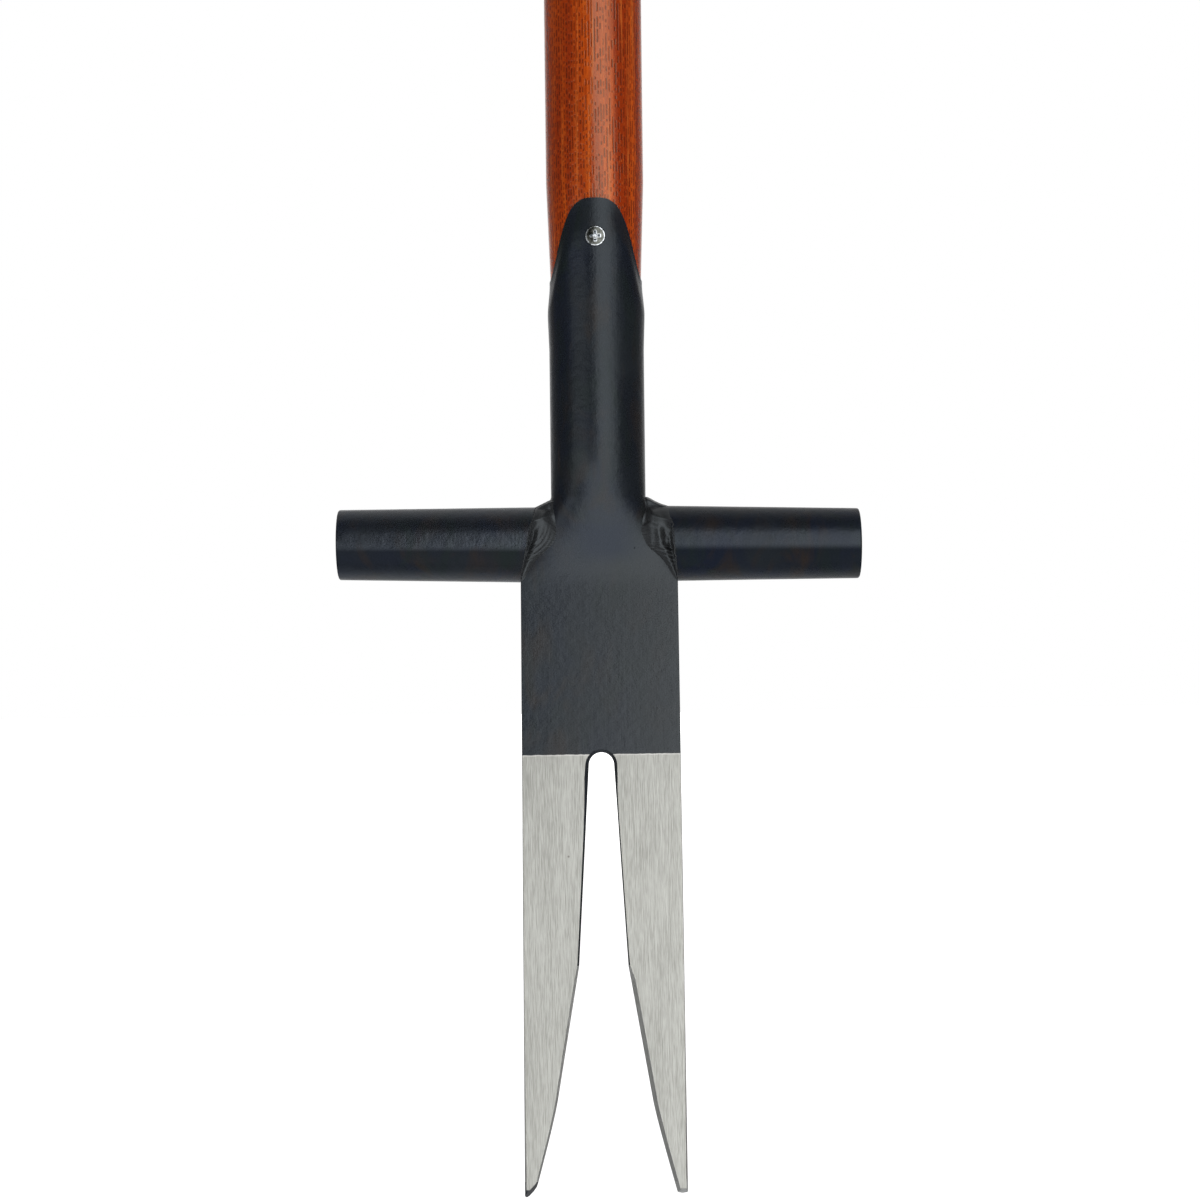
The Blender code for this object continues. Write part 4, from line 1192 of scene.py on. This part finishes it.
def screwZinc(seed):
    looks = screwLooks
    material, tree, shader = startMaterial("screw zinc with painted highlights", **{"Metallic": 1.0})
    place = objectPlace(tree, move=(0, 0, -screwHeight))
    x, _, z = separate(tree, place)
    radius = calc(tree, "SQRT", calc(tree, "MULTIPLY_ADD", x, x, times(tree, z, z)))
    # Painted highlights: a bright ring round the rim and a bright cross over the recess
    rim = spread(tree, radius, *looks["rim"])
    narrow = calc(tree, "MINIMUM", unsigned(tree, x), unsigned(tree, z))
    cross = times(tree, spread(tree, narrow, *looks["highlightCrossWidth"]), spread(tree, radius, *looks["highlightCrossReach"]))
    dull = cloud(tree, objectPlace(tree, move=(seed, 0, seed)), looks["dullScale"], 3)
    bright = times(tree, calc(tree, "MAXIMUM", rim, cross), spread(tree, dull, 0.38, 0.56, 0.2, 1.0))
    face = blendColour(tree, spread(tree, dull, 0.35, 0.65), *looks["dulled"])
    feed(tree, shader.inputs["Base Color"], blendColour(tree, bright, face, looks["bright"]))
    feed(tree, shader.inputs["Roughness"], spread(tree, dull, 0.3, 0.7, *looks["roughness"]))
    feed(tree, shader.inputs["Normal"], bumpFrom(tree, cloud(tree, place, looks["grainScale"], 3), looks["bump"]))
    return material


for side, seed in screwLooks["seeds"].items():
    makeScrew(side, screwZinc(seed))
print("screws made")

# A white studio. A camera-blind tent round tool and camera carries soft boxes, as (azimuth, height) in degrees
# from the front towards the right, with the width of their soft edges; its back is bright
studio = {
    "surroundings": 1.0,
    "target": Vector((0, 0, 0.30)),
    "tentRadius": 1.75,
    "tentGlow": 0.085,
    "boxes": (
        # left, right, bottom, top, soft left, soft right, soft height, radiance
        (-2, 44, -15, 38, 9, 36, 9, 2.25),
        (-28, 42, -72, -15, 28, 30, 9, 2.0),
        (-62, -22, -24, 8, 8, 8, 4, 1.1),
    ),
    # further glows as (radiance, where it starts from front to back, width of its edge)
    "overhead": (0.36, 0.0, 0.7), "overheadLevels": (0.62, 0.35),
    "sides": (0.12, 0.55, 0.45),
    "back": (0.6, 0.84, 0.22),
    "floorSize": 9.0,
    "floorColour": (0.74, 0.74, 0.73, 1),
    "floorGlow": (0.42, 0.98), "glowBehind": (-0.5, -0.01), "glowFar": (0.7, 1.6),
}


def makeFloor():
    half = studio["floorSize"] / 2
    mesh = bpy.data.meshes.new("floor")
    mesh.from_pydata([(-half, -half, 0), (half, -half, 0), (half, half, 0), (-half, half, 0)], [], [(0, 1, 2, 3)])
    material, tree, shader = startMaterial("pale floor", **{"Base Color": studio["floorColour"], "Roughness": 0.9,
                                                            "Specular IOR Level": 0.0,
                                                            "Emission Color": (1, 1, 1, 1)})
    x, y, _ = separate(tree, objectPlace(tree))
    square = plus(tree, times(tree, x, x), times(tree, y, y))
    behind = spread(tree, y, *studio["glowBehind"], smooth=True)
    far = spread(tree, calc(tree, "SQRT", square), *studio["glowFar"], smooth=True)
    feed(tree, shader.inputs["Emission Strength"],
         spread(tree, calc(tree, "MAXIMUM", behind, far), 0.0, 1.0, *studio["floorGlow"]))
    floor = addPiece("floor", mesh, material)
    floor.visible_glossy = False


def softStep(tree, value, edge, width):
    return spread(tree, value, edge - width / 2, edge + width / 2, smooth=True)


def makeTent():
    shape = bmesh.new()
    bmesh.ops.create_uvsphere(shape, u_segments=64, v_segments=48, radius=1)
    mesh = bpy.data.meshes.new("tent")
    shape.to_mesh(mesh)
    shape.free()
    material, tree, shader = startMaterial("tent cloth", **{"Base Color": (0, 0, 0, 1), "Specular IOR Level": 0.0,
                                                            "Emission Color": (1, 1, 1, 1)})
    x, y, z = separate(tree, objectPlace(tree))
    azimuth = calc(tree, "DEGREES", calc(tree, "ARCTAN2", x, times(tree, y, -1)))
    rise = calc(tree, "DEGREES", calc(tree, "ARCSINE", z))
    total = studio["tentGlow"]
    for left, right, bottom, top, softLeft, softRight, softHeight, radiance in studio["boxes"]:
        wide = times(tree, softStep(tree, azimuth, left, softLeft),
                    softStep(tree, times(tree, azimuth, -1), -right, softRight))
        high = times(tree, softStep(tree, rise, bottom, softHeight),
                    softStep(tree, times(tree, rise, -1), -top, softHeight))
        total = calc(tree, "MULTIPLY_ADD", times(tree, wide, high), radiance, total)
    upright = softStep(tree, unsigned(tree, z), *studio["overheadLevels"])
    radiance, start, width = studio["overhead"]
    total = calc(tree, "MULTIPLY_ADD", times(tree, softStep(tree, y, start, width), upright), radiance, total)
    for radiance, start, width in (studio["sides"], studio["back"]):
        total = calc(tree, "MULTIPLY_ADD", softStep(tree, y, start, width), radiance, total)
    feed(tree, shader.inputs["Emission Strength"], total)
    tent = addPiece("tent", mesh, material)
    tent.location = studio["target"]
    tent.scale = [studio["tentRadius"]] * 3
    tent.visible_camera = False


world = bpy.data.worlds.new("studio")
bpy.context.scene.world = world
world.use_nodes = True
world.node_tree.nodes["Background"].inputs["Color"].default_value = (1, 1, 1, 1)
world.node_tree.nodes["Background"].inputs["Strength"].default_value = studio["surroundings"]
makeFloor()
makeTent()
print("studio made")
